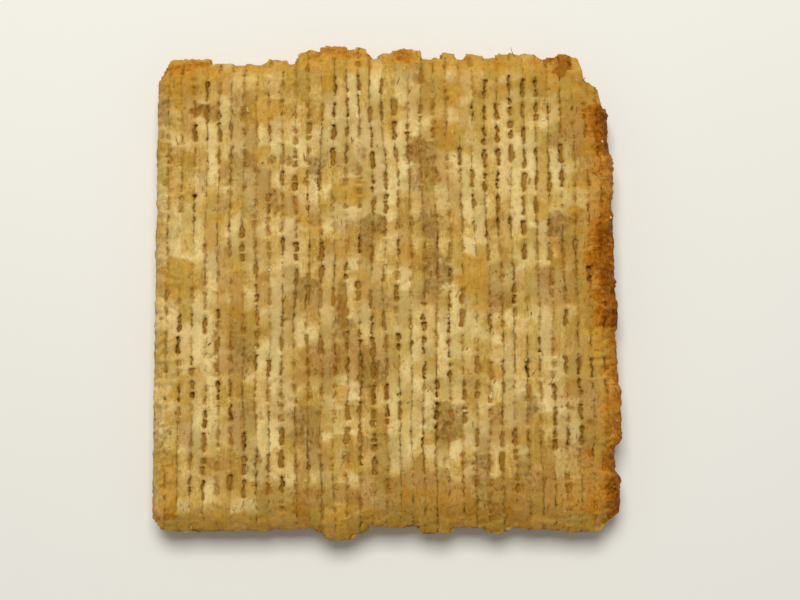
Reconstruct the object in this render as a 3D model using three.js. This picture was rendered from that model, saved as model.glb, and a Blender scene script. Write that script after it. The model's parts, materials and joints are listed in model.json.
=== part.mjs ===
// A woven wheat cracker: nets of wheat strands, pressed together, cut square and baked.
// Strands run along Y, and thin webs cross between them, so each gap is a row of small slots.
// The cutter has pinched the ends and the sides, and the ends carry flaps of squeezed dough.
// Millimetres. The origin is under the middle of the cracker, on the surface it lies on, and +Z is up.

import * as THREE from "three";

// Driving dimensions
const STRAND_PITCH = 1.27;
const STRAND_COUNT = 36;
const GAP_WIDTH = 0.46; // the width of a gap between two strands, at their crowns
const WEB_PITCH = 2.33;
const WEB_COUNT = 20;
const WEB_SHIFT = -0.36; // the rows of webs lie a little nearer to the near end
const HALF_LENGTH = 23.5; // from the middle to either end, without the flaps
const THICKNESS = 5.2;
const SIDE_SHIFT = -0.15; // the middle of the two sides at Y = 0
const SIDE_LEAN = { left: 0.005, right: -0.02 }; // how far each side moves in X for each mm of Y

// Depths of the weave below a strand's crown
const SLOT_DEPTH = 1.0;
const WEB_DEPTH = 0.22;
const FUSED_SHARE = 0.24; // the share of slots that the press has closed
const CROWN_UNEVENNESS = 0.26; // how much the strands differ in height
const DEEPEST_SHARE = 0.6; // no gap is deeper than this share of half the thickness

// The pinched edges, and the rim that runs round them between the two faces
const END_PINCH = { length: 3.0, thickness: 1.7 };
const SIDE_PINCH = { length: 1.8, thickness: 2.8 };
const RIM_WIDTH = 0.35; // how far the rim stands out past the two faces
const RIM_LINES = [
  { down: 0.24, inset: 0 },
  { down: 0.5, inset: 0.42 }, // the groove between the upper and the lower nets
  { down: 0.76, inset: 0 },
];
const RIM_UNEVENNESS = 0.13;
const SIDE_UNEVENNESS = 0.1; // how far a side strand wanders, in and out
const STRAND_END_REACH = 0.16; // how far a cut strand stands out past the gaps beside it
const BEND_ZONE = 8.5; // the length at each end over which the weave follows the cut

// Flaps of dough past the cut: place along the edge, half width, and reach. A reach below 0 is a notch.
const FAR_FLAPS = [
  { at: -19.6, half: 2.6, reach: 0.3 },
  { at: -5.2, half: 3.7, reach: 1.45 },
  { at: 1.7, half: 2.1, reach: 1.25 },
  { at: 7.6, half: 2.6, reach: 0.65 },
  { at: 13.7, half: 2.2, reach: 0.7 },
  { at: 17.7, half: 1.7, reach: 0.5 },
];
const NEAR_FLAPS = [
  { at: -18.0, half: 5.6, reach: 0.25 },
  { at: -4.9, half: 2.7, reach: 0.95 },
  { at: 4.5, half: 2.3, reach: 0.35 },
  { at: 11.3, half: 1.2, reach: 0.25 },
  { at: 18.6, half: 2.6, reach: 0.3 },
];
const RIGHT_FLAPS = [
  { at: 11.6, half: 2.2, reach: 0.15 },
  { at: -1.9, half: 1.4, reach: 0.2 },
  { at: -12.0, half: 3.2, reach: 0.25 },
  { at: -16.5, half: 1.6, reach: -0.45 },
];
const FLAP_SHOULDER = 0.6; // a flap keeps its full reach over this share of its half width

// The far right corner has broken off in two steps
const BROKEN_STEPS = [
  { from: 19.3, drop: 2.5 },
  { from: 21.1, drop: 2.1 },
];
const STEP_WIDTH = 0.5;
const CORNER_RADIUS = { nearLeft: 1.4, nearRight: 2.8, farLeft: 2.6, farRight: 1.0 };

const CRUST_COLOUR = 0xb6904a;

const HALF_WIDTH = (STRAND_PITCH * STRAND_COUNT) / 2;
const MIDDLE_HEIGHT = THICKNESS / 2;

// The two faces. The lower one's crowns are level, because they lay on the baking belt.
const UPPER = { side: 1, unevenness: CROWN_UNEVENNESS, crownDraw: 1, fusedDraw: 2 };
const LOWER = { side: -1, unevenness: 0, crownDraw: 3, fusedDraw: 4 };

// The other random draws
const STRAND_END_DRAW = 5;
const SIDE_DRAW = 6;
const RIM_DRAW = 7;

const { clamp, lerp, seededRandom, smoothstep } = THREE.MathUtils;

// A repeatable random number from 0 to 1 for a pair of whole numbers, such as a strand and a web
function chance(a, b, draw) {
  return seededRandom(7919 * (a + 3) + 104729 * (b + 3) + 15485863 * (draw + 1));
}

// A repeatable number from -1 to 1
function scatter(a, b, draw) {
  return 2 * chance(a, b, draw) - 1;
}

// How far one flap reaches past the cut: full in its middle, and rounded off at both its ends
function flapReach(flap, along) {
  const share = Math.abs(along - flap.at) / flap.half;
  return flap.reach * (1 - smoothstep(share, FLAP_SHOULDER, 1));
}

function allFlapsReach(flaps, along) {
  return flaps.reduce((sum, flap) => sum + flapReach(flap, along), 0);
}

// X of the left and of the right side at y
function leftSide(y) {
  return SIDE_SHIFT - HALF_WIDTH + SIDE_LEAN.left * y;
}

function rightSide(y) {
  return SIDE_SHIFT + HALF_WIDTH + SIDE_LEAN.right * y + allFlapsReach(RIGHT_FLAPS, y);
}

// How far a rounded corner of that radius falls back, at a distance from the side
function cornerDrop(distance, radius) {
  const inside = clamp(radius - distance, 0, radius);
  return radius - Math.sqrt(radius * radius - inside * inside);
}

function brokenDrop(x) {
  return BROKEN_STEPS.reduce(
    (sum, step) => sum + step.drop * smoothstep(x, step.from, step.from + STEP_WIDTH),
    0,
  );
}

// Y of the far and of the near end at x
function farEnd(x) {
  const corners =
    cornerDrop(x - leftSide(HALF_LENGTH), CORNER_RADIUS.farLeft) +
    cornerDrop(rightSide(HALF_LENGTH) - x, CORNER_RADIUS.farRight);
  return HALF_LENGTH + allFlapsReach(FAR_FLAPS, x) - brokenDrop(x) - corners;
}

function nearEnd(x) {
  const corners =
    cornerDrop(x - leftSide(-HALF_LENGTH), CORNER_RADIUS.nearLeft) +
    cornerDrop(rightSide(-HALF_LENGTH) - x, CORNER_RADIUS.nearRight);
  return corners - HALF_LENGTH - allFlapsReach(NEAR_FLAPS, x);
}

// Where a point of the even weave lies once the ends are cut: near an end, the weave follows the cut
function followCut(x, evenY) {
  const still = HALF_LENGTH - BEND_ZONE;
  if (Math.abs(evenY) <= still) return evenY;
  const cut = evenY > 0 ? farEnd(x) : -nearEnd(x);
  const share = (Math.abs(evenY) - still) / BEND_ZONE;
  return Math.sign(evenY) * lerp(still, cut - RIM_WIDTH, share);
}

// A rise from 0 at the rim to 1 inside, rounded like a pillow's shoulder
function shoulder(distance, length) {
  const share = clamp(distance / length, 0, 1);
  return Math.sin((share * Math.PI) / 2);
}

// Half of the cracker's thickness at a point
function halfThickness(x, y) {
  const toEnd = Math.min(farEnd(x) - y, y - nearEnd(x));
  const toSide = Math.min(x - leftSide(y), rightSide(y) - x);
  const ends = lerp(END_PINCH.thickness, THICKNESS, shoulder(toEnd, END_PINCH.length));
  const sides = lerp(SIDE_PINCH.thickness, THICKNESS, shoulder(toSide, SIDE_PINCH.length));
  return Math.min(ends, sides) / 2;
}

// The lengthwise lines of the weave, from left to right: each strand's two crown edges, and the bottoms of
// the gaps between the strands. The outermost two run along the rim.
function weaveLines() {
  const lines = [];
  for (let strand = 0; strand < STRAND_COUNT; strand++) {
    const start = strand * STRAND_PITCH;
    const isFirst = strand === 0;
    const isLast = strand === STRAND_COUNT - 1;
    const inLeft = isFirst ? RIM_WIDTH : GAP_WIDTH / 2;
    const inRight = isLast ? RIM_WIDTH : GAP_WIDTH / 2;
    if (!isFirst) lines.push({ strand, across: start, isGap: true, isSide: false });
    lines.push({ strand, across: start + inLeft, isGap: false, isSide: isFirst });
    lines.push({ strand, across: start + STRAND_PITCH - inRight, isGap: false, isSide: isLast });
  }
  return lines;
}

// Stations along a line, counted in webs from the near end. A gap and a side have one at each web and one
// between, and a crown has one at every other web.
function stations(isFine) {
  const found = [{ row: -1, evenY: -HALF_LENGTH }];
  for (let web = 0; web < WEB_COUNT; web++) {
    const evenY = WEB_SHIFT + (web - (WEB_COUNT - 1) / 2) * WEB_PITCH;
    const isNearAnEnd = web === 0 || web >= WEB_COUNT - 2;
    if (isFine || isNearAnEnd || web % 2 === 1) found.push({ row: web, evenY });
    if (isFine && web < WEB_COUNT - 1) {
      found.push({ row: web + 0.5, evenY: evenY + WEB_PITCH / 2 });
    }
  }
  found.push({ row: WEB_COUNT, evenY: HALF_LENGTH });
  return found;
}

// How deep the weave lies below the tallest crowns at a station of a line
function weaveDepth(line, row, face) {
  if (!line.isGap) return face.unevenness * chance(line.strand, Math.round(row), face.crownDraw);
  const isSlot = !Number.isInteger(row);
  const isFused = chance(line.strand, Math.floor(row), face.fusedDraw) < FUSED_SHARE;
  return isSlot && !isFused ? SLOT_DEPTH : WEB_DEPTH;
}

// Collects points and triangles into one closed surface
class Shell {
  constructor() {
    this.positions = [];
    this.index = [];
  }

  addPoint(x, y, z) {
    this.positions.push(x, y, z);
    return this.positions.length / 3 - 1;
  }

  point(id) {
    return new THREE.Vector3().fromArray(this.positions, 3 * id);
  }

  // Fills between two lines that run the same way, which may hold different numbers of points
  zip(first, second, isFlipped) {
    let i = 0;
    let j = 0;
    while (i < first.length - 1 || j < second.length - 1) {
      const firstIsDone = i === first.length - 1;
      const secondIsDone = j === second.length - 1;
      const stepsFirst = secondIsDone || (!firstIsDone && first[i + 1].row <= second[j + 1].row);
      const corner = stepsFirst ? first[i + 1].id : second[j + 1].id;
      const triangle = [first[i].id, second[j].id, corner];
      this.index.push(...(isFlipped ? triangle.reverse() : triangle));
      if (stepsFirst) i++;
      else j++;
    }
  }

  geometry() {
    const made = new THREE.BufferGeometry();
    made.setAttribute("position", new THREE.Float32BufferAttribute(this.positions, 3));
    made.setIndex(this.index);
    made.computeVertexNormals();
    return made;
  }
}

// One point of a face, on a line of the weave
function addWeavePoint(shell, face, line, { row, evenY }) {
  const isEnd = row < 0 || row === WEB_COUNT;
  const share = line.across / (2 * HALF_WIDTH);
  const evenX = lerp(leftSide(evenY), rightSide(evenY), share);
  const reach = isEnd && !line.isGap ? STRAND_END_REACH * chance(line.strand, row, STRAND_END_DRAW) : 0;
  const wander = line.isSide && !isEnd ? SIDE_UNEVENNESS * scatter(line.strand, 2 * row, SIDE_DRAW) : 0;
  const y = followCut(evenX, evenY) + Math.sign(evenY) * reach;
  const x = lerp(leftSide(y), rightSide(y), share) + wander;
  const half = halfThickness(x, y);
  const depth = Math.min(weaveDepth(line, row, face), half * DEEPEST_SHARE);
  const z = MIDDLE_HEIGHT + face.side * (half - depth);
  return { row, id: shell.addPoint(x, y, z) };
}

// One face of the cracker, as lines of points with triangles between them
function addFace(shell, face) {
  const lines = weaveLines().map((line) =>
    stations(line.isGap || line.isSide).map((station) => addWeavePoint(shell, face, line, station)),
  );
  lines.slice(1).forEach((line, i) => shell.zip(lines[i], line, face.side < 0));
  return lines;
}

// The rim's stations, once round the cracker: a point above, one below, and the way out of their edge
function rimStations(upper, lower) {
  const last = upper.length - 1;
  const lastOf = (line) => line[line.length - 1];
  const edges = [
    { out: [0, -1], pairs: upper.map((line, i) => [line[0], lower[i][0]]) },
    { out: [1, 0], pairs: upper[last].map((point, i) => [point, lower[last][i]]) },
    { out: [0, 1], pairs: upper.map((line, i) => [lastOf(line), lastOf(lower[i])]).reverse() },
    { out: [-1, 0], pairs: upper[0].map((point, i) => [point, lower[0][i]]).reverse() },
  ];
  return edges.flatMap(({ out, pairs }) =>
    pairs.slice(0, -1).map(([above, below]) => ({ above: above.id, below: below.id, out })),
  );
}

// One line round the rim, between the two faces
function addRimLine(shell, stationsRound, { down, inset }, lineNumber) {
  return stationsRound.map(({ above, below, out }, i) => {
    const before = stationsRound[(i + stationsRound.length - 1) % stationsRound.length].out;
    const direction = new THREE.Vector2(out[0] + before[0], out[1] + before[1]).normalize();
    const reach = RIM_WIDTH - inset + RIM_UNEVENNESS * scatter(i, lineNumber, RIM_DRAW);
    const base = shell.point(above).lerp(shell.point(below), down);
    return shell.addPoint(base.x + reach * direction.x, base.y + reach * direction.y, base.z);
  });
}

// The rim closes the shell, with bands from the upper face's edge over each line to the lower face's edge
function addRim(shell, upper, lower) {
  const round = rimStations(upper, lower);
  const rings = [
    round.map((station) => station.above),
    ...RIM_LINES.map((line, number) => addRimLine(shell, round, line, number)),
    round.map((station) => station.below),
  ].map((ids) => [...ids, ids[0]].map((id, row) => ({ row, id })));
  rings.slice(1).forEach((ring, i) => shell.zip(ring, rings[i], true));
}

// The whole cracker is one solid
function crackerGeometry() {
  const shell = new Shell();
  const upper = addFace(shell, UPPER);
  const lower = addFace(shell, LOWER);
  addRim(shell, upper, lower);
  return shell.geometry();
}

// Centres the geometry over the origin, so that it stands on Z = 0
function centreOnOrigin(geometry) {
  geometry.computeBoundingBox();
  const { min, max } = geometry.boundingBox;
  return geometry.translate(-(min.x + max.x) / 2, -(min.y + max.y) / 2, -min.z);
}

const crust = new THREE.MeshStandardMaterial({
  color: CRUST_COLOUR,
  roughness: 0.62,
  metalness: 0,
  flatShading: true,
});

const cracker = new THREE.Mesh(centreOnOrigin(crackerGeometry()), crust);
cracker.name = "cracker";

const part = new THREE.Group();
part.add(cracker);

export default part;
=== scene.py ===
import json
import math
from typing import NamedTuple

import bmesh
import bpy
import numpy as np
from mathutils import Color, Euler, Matrix, Vector, noise
from mathutils.bvhtree import BVHTree

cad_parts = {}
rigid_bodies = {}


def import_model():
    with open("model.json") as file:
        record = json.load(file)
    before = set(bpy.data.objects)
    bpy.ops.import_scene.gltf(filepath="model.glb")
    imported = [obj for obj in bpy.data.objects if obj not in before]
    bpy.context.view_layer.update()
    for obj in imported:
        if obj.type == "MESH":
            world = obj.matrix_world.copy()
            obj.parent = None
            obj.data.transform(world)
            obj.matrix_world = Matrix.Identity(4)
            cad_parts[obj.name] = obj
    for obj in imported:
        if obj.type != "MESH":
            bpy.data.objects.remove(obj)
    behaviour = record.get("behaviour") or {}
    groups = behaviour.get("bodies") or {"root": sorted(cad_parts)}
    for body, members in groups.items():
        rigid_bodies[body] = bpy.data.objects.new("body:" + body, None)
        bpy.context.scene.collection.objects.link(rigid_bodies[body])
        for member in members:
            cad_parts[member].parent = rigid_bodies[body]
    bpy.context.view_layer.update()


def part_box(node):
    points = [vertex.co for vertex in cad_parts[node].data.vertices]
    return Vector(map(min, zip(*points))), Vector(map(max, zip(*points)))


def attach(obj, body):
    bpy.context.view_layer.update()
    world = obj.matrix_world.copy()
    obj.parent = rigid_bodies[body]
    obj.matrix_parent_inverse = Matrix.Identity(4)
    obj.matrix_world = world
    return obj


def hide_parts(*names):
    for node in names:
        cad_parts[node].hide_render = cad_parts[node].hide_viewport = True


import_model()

# A woven wheat cracker: nets of wheat strands, pressed into a stack and baked, with crumbs, bran, salt and
# hairs of bran on them. Shapes are worked out in millimetres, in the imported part's frame, and become metres
# when they are written to a mesh. Strands run along Y, and +Z is the shown face.

bl_info = {
    "name": "Woven wheat cracker",
    "version": (1, 0, 0),
    "blender": (4, 5, 0),
    "location": "View3D > Sidebar > Cracker",
    "description": "Builds a baked woven wheat cracker and the studio round it",
    "category": "Add Mesh",
}

MM = 0.001
BODY = "root"
NODE = "cracker"
THICKNESS = (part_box(NODE)[1].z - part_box(NODE)[0].z) / MM
MIDDLE = THICKNESS / 2

# Outline


class Flap(NamedTuple):
    """A stretch of an edge that reaches past it, or falls short of it where reach is below 0."""

    at: float
    half: float
    reach: float


FAR_EDGE = 22.9
NEAR_EDGE = -23.4
SIDE_MIDDLE = -0.18
SIDE_LEAN_LEFT = 0.005
SIDE_LEAN_RIGHT = -0.02
FLAP_SHOULDER = 0.7

FAR_FLAPS = [
    Flap(-20.1, 2.4, 0.6), Flap(-11.1, 1.3, 0.35), Flap(-7.1, 2.2, 1.35), Flap(-5.5, 1.6, 1.8),
    Flap(-3.4, 1.9, 1.55), Flap(-1.2, 0.9, 0.6), Flap(0.1, 0.9, 1.05), Flap(2.1, 1.75, 1.55),
    Flap(8.4, 12.0, 0.5), Flap(6.5, 0.9, 1.15), Flap(9.2, 1.2, 1.0), Flap(13.6, 2.6, 1.05),
    Flap(18.3, 1.9, 0.85),
]
NEAR_FLAPS = [
    Flap(-17.2, 6.6, 0.36), Flap(-9.0, 2.4, 0.1), Flap(-4.7, 2.9, 0.52), Flap(-5.0, 1.6, 1.25),
    Flap(4.7, 1.8, 0.5), Flap(10.9, 1.2, 0.4), Flap(15.5, 2.4, 0.25), Flap(19.3, 2.1, 0.45),
]
RIGHT_FLAPS = [
    Flap(11.4, 2.2, 0.15), Flap(-2.1, 1.4, 0.2), Flap(-12.2, 3.2, 0.25), Flap(-16.7, 1.6, -0.45),
    Flap(16.9, 4.0, -0.32),
]
RIGHT_FLAP_FALL = 14
BROKEN_STEPS = [(19.65, 1.8), (20.75, 0.5), (22.0, 1.5)]
STEP_WIDTH = 0.45
CORNERS = {"near_left": 1.6, "near_right": 3.4, "far_left": 1.6, "far_right": 0.8}

END_PINCH_LENGTH = 3.0
END_PINCH_THICKNESS = 1.7
SIDE_PINCH_LENGTH = 1.8
SIDE_PINCH_THICKNESS = 2.8


def smooth_step(values, low, high):
    """A smooth rise from 0 at low to 1 at high."""
    share = np.clip((values - low) / (high - low), 0.0, 1.0)
    return share * share * (3.0 - 2.0 * share)


def blend(start, end, share):
    return start + (end - start) * share


def flaps_reach(flaps, along):
    """How far the flaps stand out past an edge at each place along it."""
    reach = np.zeros_like(along)
    for flap in flaps:
        share = np.abs(along - flap.at) / flap.half
        here = flap.reach * (1.0 - smooth_step(share, FLAP_SHOULDER, 1.0))
        reach = np.where(np.abs(here) > np.abs(reach), here, reach)
    return reach


def half_width():
    weave = bpy.context.scene.cracker_weave
    return weave.strand_pitch / MM * weave.strand_count / 2


def left_side(y):
    return SIDE_MIDDLE - half_width() + SIDE_LEAN_LEFT * y


def even_right_side(y):
    return SIDE_MIDDLE + half_width() + SIDE_LEAN_RIGHT * y


def right_side(y):
    return even_right_side(y) + flaps_reach(RIGHT_FLAPS, y)


def corner_drop(distance, radius):
    """How far a rounded corner falls back at a distance from the side."""
    inside = np.clip(radius - distance, 0.0, radius)
    return radius - np.sqrt(radius * radius - inside * inside)


def corner_drops(x, edge, left, right):
    """How far the two corners of an end fall back at each place along it."""
    y = np.full_like(x, edge)
    return corner_drop(x - left_side(y), CORNERS[left]) + corner_drop(right_side(y) - x, CORNERS[right])


def far_end(x):
    drop = corner_drops(x, FAR_EDGE, "far_left", "far_right")
    for start, depth in BROKEN_STEPS:
        drop = drop + depth * smooth_step(x, start, start + STEP_WIDTH)
    return FAR_EDGE + flaps_reach(FAR_FLAPS, x) - drop


def near_end(x):
    drop = corner_drops(x, NEAR_EDGE, "near_left", "near_right")
    return NEAR_EDGE - flaps_reach(NEAR_FLAPS, x) + drop


def squeeze(x, y):
    """The cracker's thickness at each place, as a share of the whole: the cutter has pinched its edges."""
    to_end = np.minimum(far_end(x) - y, y - near_end(x))
    to_side = np.minimum(x - left_side(y), right_side(y) - x)
    end_share = np.sin(np.clip(to_end / END_PINCH_LENGTH, 0.0, 1.0) * math.pi / 2)
    side_share = np.sin(np.clip(to_side / SIDE_PINCH_LENGTH, 0.0, 1.0) * math.pi / 2)
    ends = blend(END_PINCH_THICKNESS, THICKNESS, end_share)
    sides = blend(SIDE_PINCH_THICKNESS, THICKNESS, side_share)
    return np.minimum(ends, sides) / THICKNESS


# Where the baking and the pressing show


class Spot(NamedTuple):
    """A patch of the upper face: its middle, half sizes and strength."""

    x: float
    y: float
    across: float
    along: float
    strength: float


def spots(*rows):
    return [Spot(*row) for row in rows]


GOLDEN_SPOTS = spots(
    (-12.3, 17.9, 1.4, 1.4, 0.9), (-11.5, 20.3, 1.1, 1.1, 0.6), (-5.8, 20.7, 1.0, 0.9, 1.0),
    (-4.0, 9.7, 2.0, 1.3, 0.85), (-18.0, 9.3, 1.8, 1.3, 0.6), (-17.1, 5.9, 0.9, 2.0, 0.7),
    (-20.5, 1.3, 1.9, 2.0, 0.9), (-15.2, 1.7, 1.2, 2.1, 0.5), (-3.8, 4.7, 1.4, 1.5, 0.6),
    (1.0, 17.6, 0.7, 1.5, 0.8), (6.3, 19.5, 1.4, 1.1, 0.8), (6.1, 15.4, 1.4, 1.7, 1.0),
    (14.8, 21.7, 0.9, 1.2, 1.0), (8.3, 1.6, 1.5, 2.3, 1.0), (9.3, 9.5, 0.8, 0.9, 0.5),
    (15.5, 8.0, 0.6, 1.2, 0.9), (14.7, 5.3, 0.9, 1.0, 0.7), (20.2, 11.2, 1.0, 1.2, 0.9),
    (-21.5, -19.4, 0.8, 2.5, 0.9), (-17.2, -16.5, 0.8, 1.4, 0.6), (-19.0, -9.3, 1.3, 1.8, 0.6),
    (-4.7, -14.9, 1.2, 1.0, 0.7), (-4.9, -22.7, 2.3, 2.0, 0.9), (-8.4, -21.8, 1.7, 1.2, 0.8),
    (1.6, -11.9, 1.8, 3.4, 0.4), (9.0, -0.9, 0.9, 1.4, 0.9), (11.0, 20.2, 9.5, 3.4, 0.45),
    (19.2, 18.2, 2.4, 2.2, 0.7), (7.5, 15.3, 3.0, 1.8, 0.4), (18.0, 5.6, 1.8, 1.6, 0.5),
    (20.6, 0.0, 2.6, 21.0, 0.4), (20.3, -7.1, 1.6, 1.6, 0.6), (17.4, -19.9, 1.8, 1.5, 0.6),
    (-8.5, -22.8, 13.0, 1.4, 0.45), (13.0, -21.6, 9.0, 2.0, 0.4), (4.5, -7.3, 0.9, 1.0, 0.6),
    (11.1, -6.0, 1.2, 0.9, 0.6), (21.4, -4.9, 1.5, 1.7, 1.0), (4.8, -21.0, 3.8, 2.0, 0.8),
    (20.6, -21.4, 1.9, 1.5, 0.9), (13.3, -20.7, 3.2, 1.5, 0.5), (-20.1, 21.3, 2.5, 1.9, 0.9),
    (-5.3, 23.1, 3.5, 1.5, 0.9), (2.1, 23.6, 1.3, 0.9, 1.0),
)
BRAN_SPOTS = spots(
    (-14.4, 18.7, 0.9, 1.5, 0.7), (-14.5, 12.1, 1.3, 2.1, 0.5), (-7.1, 12.5, 0.9, 0.7, 1.0),
    (-1.3, 6.9, 1.0, 1.2, 1.0), (-8.1, 0.2, 1.3, 1.0, 1.0), (-18.7, 17.9, 1.0, 0.7, 1.0),
    (-17.4, 18.0, 0.8, 0.9, 0.7), (3.7, 13.9, 1.5, 1.5, 0.9), (3.4, 11.3, 1.5, 1.3, 0.7),
    (4.2, 6.6, 1.4, 1.4, 0.8), (4.6, 1.8, 1.5, 2.4, 0.9), (17.2, 6.9, 1.0, 1.5, 0.8),
    (-14.4, -6.3, 1.4, 2.1, 0.8), (-8.0, -13.5, 1.6, 2.3, 0.9), (-1.7, -8.3, 1.3, 1.5, 0.9),
    (-4.4, -2.5, 0.8, 2.5, 0.9), (5.9, -12.9, 1.5, 2.1, 0.9), (9.3, -16.8, 1.3, 0.8, 1.0),
    (9.5, -19.4, 1.1, 1.2, 0.8), (14.1, -11.1, 0.5, 1.9, 0.9), (13.2, -16.8, 1.0, 1.0, 0.8),
    (19.6, -15.8, 0.6, 1.4, 0.8), (21.9, -13.5, 0.7, 1.0, 0.8), (-0.7, -0.7, 1.4, 1.3, 0.6),
    (11.0, -0.7, 1.0, 0.9, 0.6),
)
DULL_SPOTS = spots(
    (-2.1, 13.4, 1.8, 4.2, 0.8), (-8.5, 9.6, 1.8, 6.0, 0.7), (-12.4, 2.0, 4.0, 2.2, 0.6),
    (-2.1, -0.6, 1.8, 2.6, 1.0), (-0.4, 2.6, 2.6, 1.6, 0.5), (-8.5, -0.9, 2.0, 1.8, 0.5),
    (13.9, -3.9, 1.6, 1.6, 0.6), (-8.5, -16.7, 1.8, 1.6, 0.6),
)
PALE_SPOTS = spots(
    (-3.3, 19.0, 0.6, 3.8, 1.0), (-0.9, 12.4, 0.7, 4.4, 0.9), (-17.3, 14.1, 0.7, 2.9, 0.8),
    (-11.0, 15.3, 0.6, 1.8, 1.0), (-7.2, 10.1, 0.7, 1.8, 0.6), (1.7, 15.6, 0.6, 6.0, 0.9),
    (13.2, 10.8, 0.6, 4.2, 1.0), (14.4, 14.3, 0.6, 3.2, 0.6), (8.1, 4.3, 0.6, 0.9, 0.9),
    (-12.2, -12.6, 0.6, 6.5, 1.0), (-11.0, -14.0, 0.6, 5.0, 1.0), (-3.3, -12.1, 0.6, 3.0, 0.8),
    (0.5, -13.5, 0.6, 4.5, 0.8), (15.7, -6.9, 0.6, 5.4, 1.0), (9.3, -11.5, 0.7, 3.5, 0.8),
    (4.3, -12.3, 0.6, 4.0, 0.8), (11.9, -10.9, 0.7, 1.7, 0.7), (17.6, -13.7, 1.3, 4.4, 0.5),
    (3.0, -3.7, 0.6, 3.7, 0.8), (6.8, -4.2, 0.6, 3.7, 0.8), (-21.1, -2.7, 0.7, 1.6, 0.7),
    (-12.2, 8.0, 0.6, 2.0, 0.5),
)
OPEN_SPOTS = spots(
    (-5.5, 12.5, 2.0, 6.6, 0.8), (0.3, 12.5, 2.2, 7.0, 0.7), (12.5, 11.5, 5.4, 9.6, 0.75),
    (-18.4, -6.4, 2.6, 3.2, 0.7), (-1.0, -14.5, 3.4, 6.2, 0.6), (5.5, -5.0, 3.2, 4.6, 0.65),
    (-1.5, -4.5, 3.2, 5.2, 0.5), (-19.0, -13.5, 2.4, 2.4, 0.45), (-12.0, 1.5, 3.8, 5.6, 0.3),
    (12.8, -13.0, 1.6, 4.8, 0.4), (19.6, -13.0, 1.0, 4.8, 0.65), (-12.5, -19.8, 4.2, 1.4, 0.7),
    (19.9, 2.4, 1.2, 3.4, 0.6),
)
TORN_SPOTS = spots(
    (-18.7, 17.9, 0.9, 0.3, 1.0), (-11.3, 13.0, 0.3, 0.45, 1.0), (-9.7, 12.9, 0.3, 0.45, 1.0),
    (-11.1, 8.6, 0.35, 1.4, 1.0), (-8.7, 7.0, 0.18, 0.2, 1.0), (-2.3, 13.5, 0.25, 0.7, 0.9),
    (-2.6, 20.3, 0.25, 0.5, 0.9), (3.3, 21.1, 0.6, 0.5, 1.0), (4.0, 11.7, 0.2, 0.6, 1.0),
    (5.1, 11.1, 0.2, 0.6, 1.0), (17.6, 22.5, 0.45, 1.1, 1.0), (5.8, -16.8, 0.2, 0.35, 1.0),
    (18.3, -11.7, 0.35, 0.25, 0.9), (20.1, -13.1, 0.35, 0.35, 0.9), (-17.0, -5.2, 0.2, 1.2, 0.9),
    (-16.9, -7.9, 0.2, 0.8, 0.9), (-4.4, -1.7, 0.4, 2.6, 1.0), (-2.5, -7.9, 0.25, 0.8, 1.0),
    (-6.8, -12.2, 0.3, 0.4, 0.9), (-8.3, -14.7, 0.2, 0.6, 0.9), (-12.4, -12.5, 0.2, 0.4, 0.9),
    (-12.5, -16.7, 0.2, 0.5, 0.9),
)
TOASTED_SPOTS = spots(
    (21.5, -2.5, 1.5, 1.0, 0.55), (21.5, 15.1, 1.1, 1.7, 0.4), (22.3, 1.1, 1.0, 2.3, 0.35),
    (22.4, 6.1, 0.9, 1.3, 0.3), (17.6, 22.4, 0.6, 1.1, 0.9), (17.2, 23.4, 1.4, 0.7, 0.5),
    (21.0, 17.4, 1.6, 1.0, 0.45), (-21.4, 21.6, 1.6, 1.3, 0.4), (-19.4, 22.6, 1.0, 0.7, 0.35),
    (21.6, -20.8, 1.3, 1.5, 0.35), (2.1, 23.9, 1.1, 0.9, 0.4), (-5.4, 24.0, 2.6, 0.8, 0.35),
    (-5.8, 20.5, 0.9, 0.9, 0.45), (20.7, 3.2, 1.5, 4.6, 0.45), (20.7, 14.4, 1.1, 3.0, 0.3),
    (19.6, -20.0, 2.8, 1.7, 0.5), (18.2, -10.8, 1.0, 2.2, 0.3), (18.4, -16.9, 2.2, 1.3, 0.35),
    (-21.5, -21.2, 1.1, 1.4, 0.35), (22.6, -17.5, 0.8, 2.6, 0.3),
)
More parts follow.
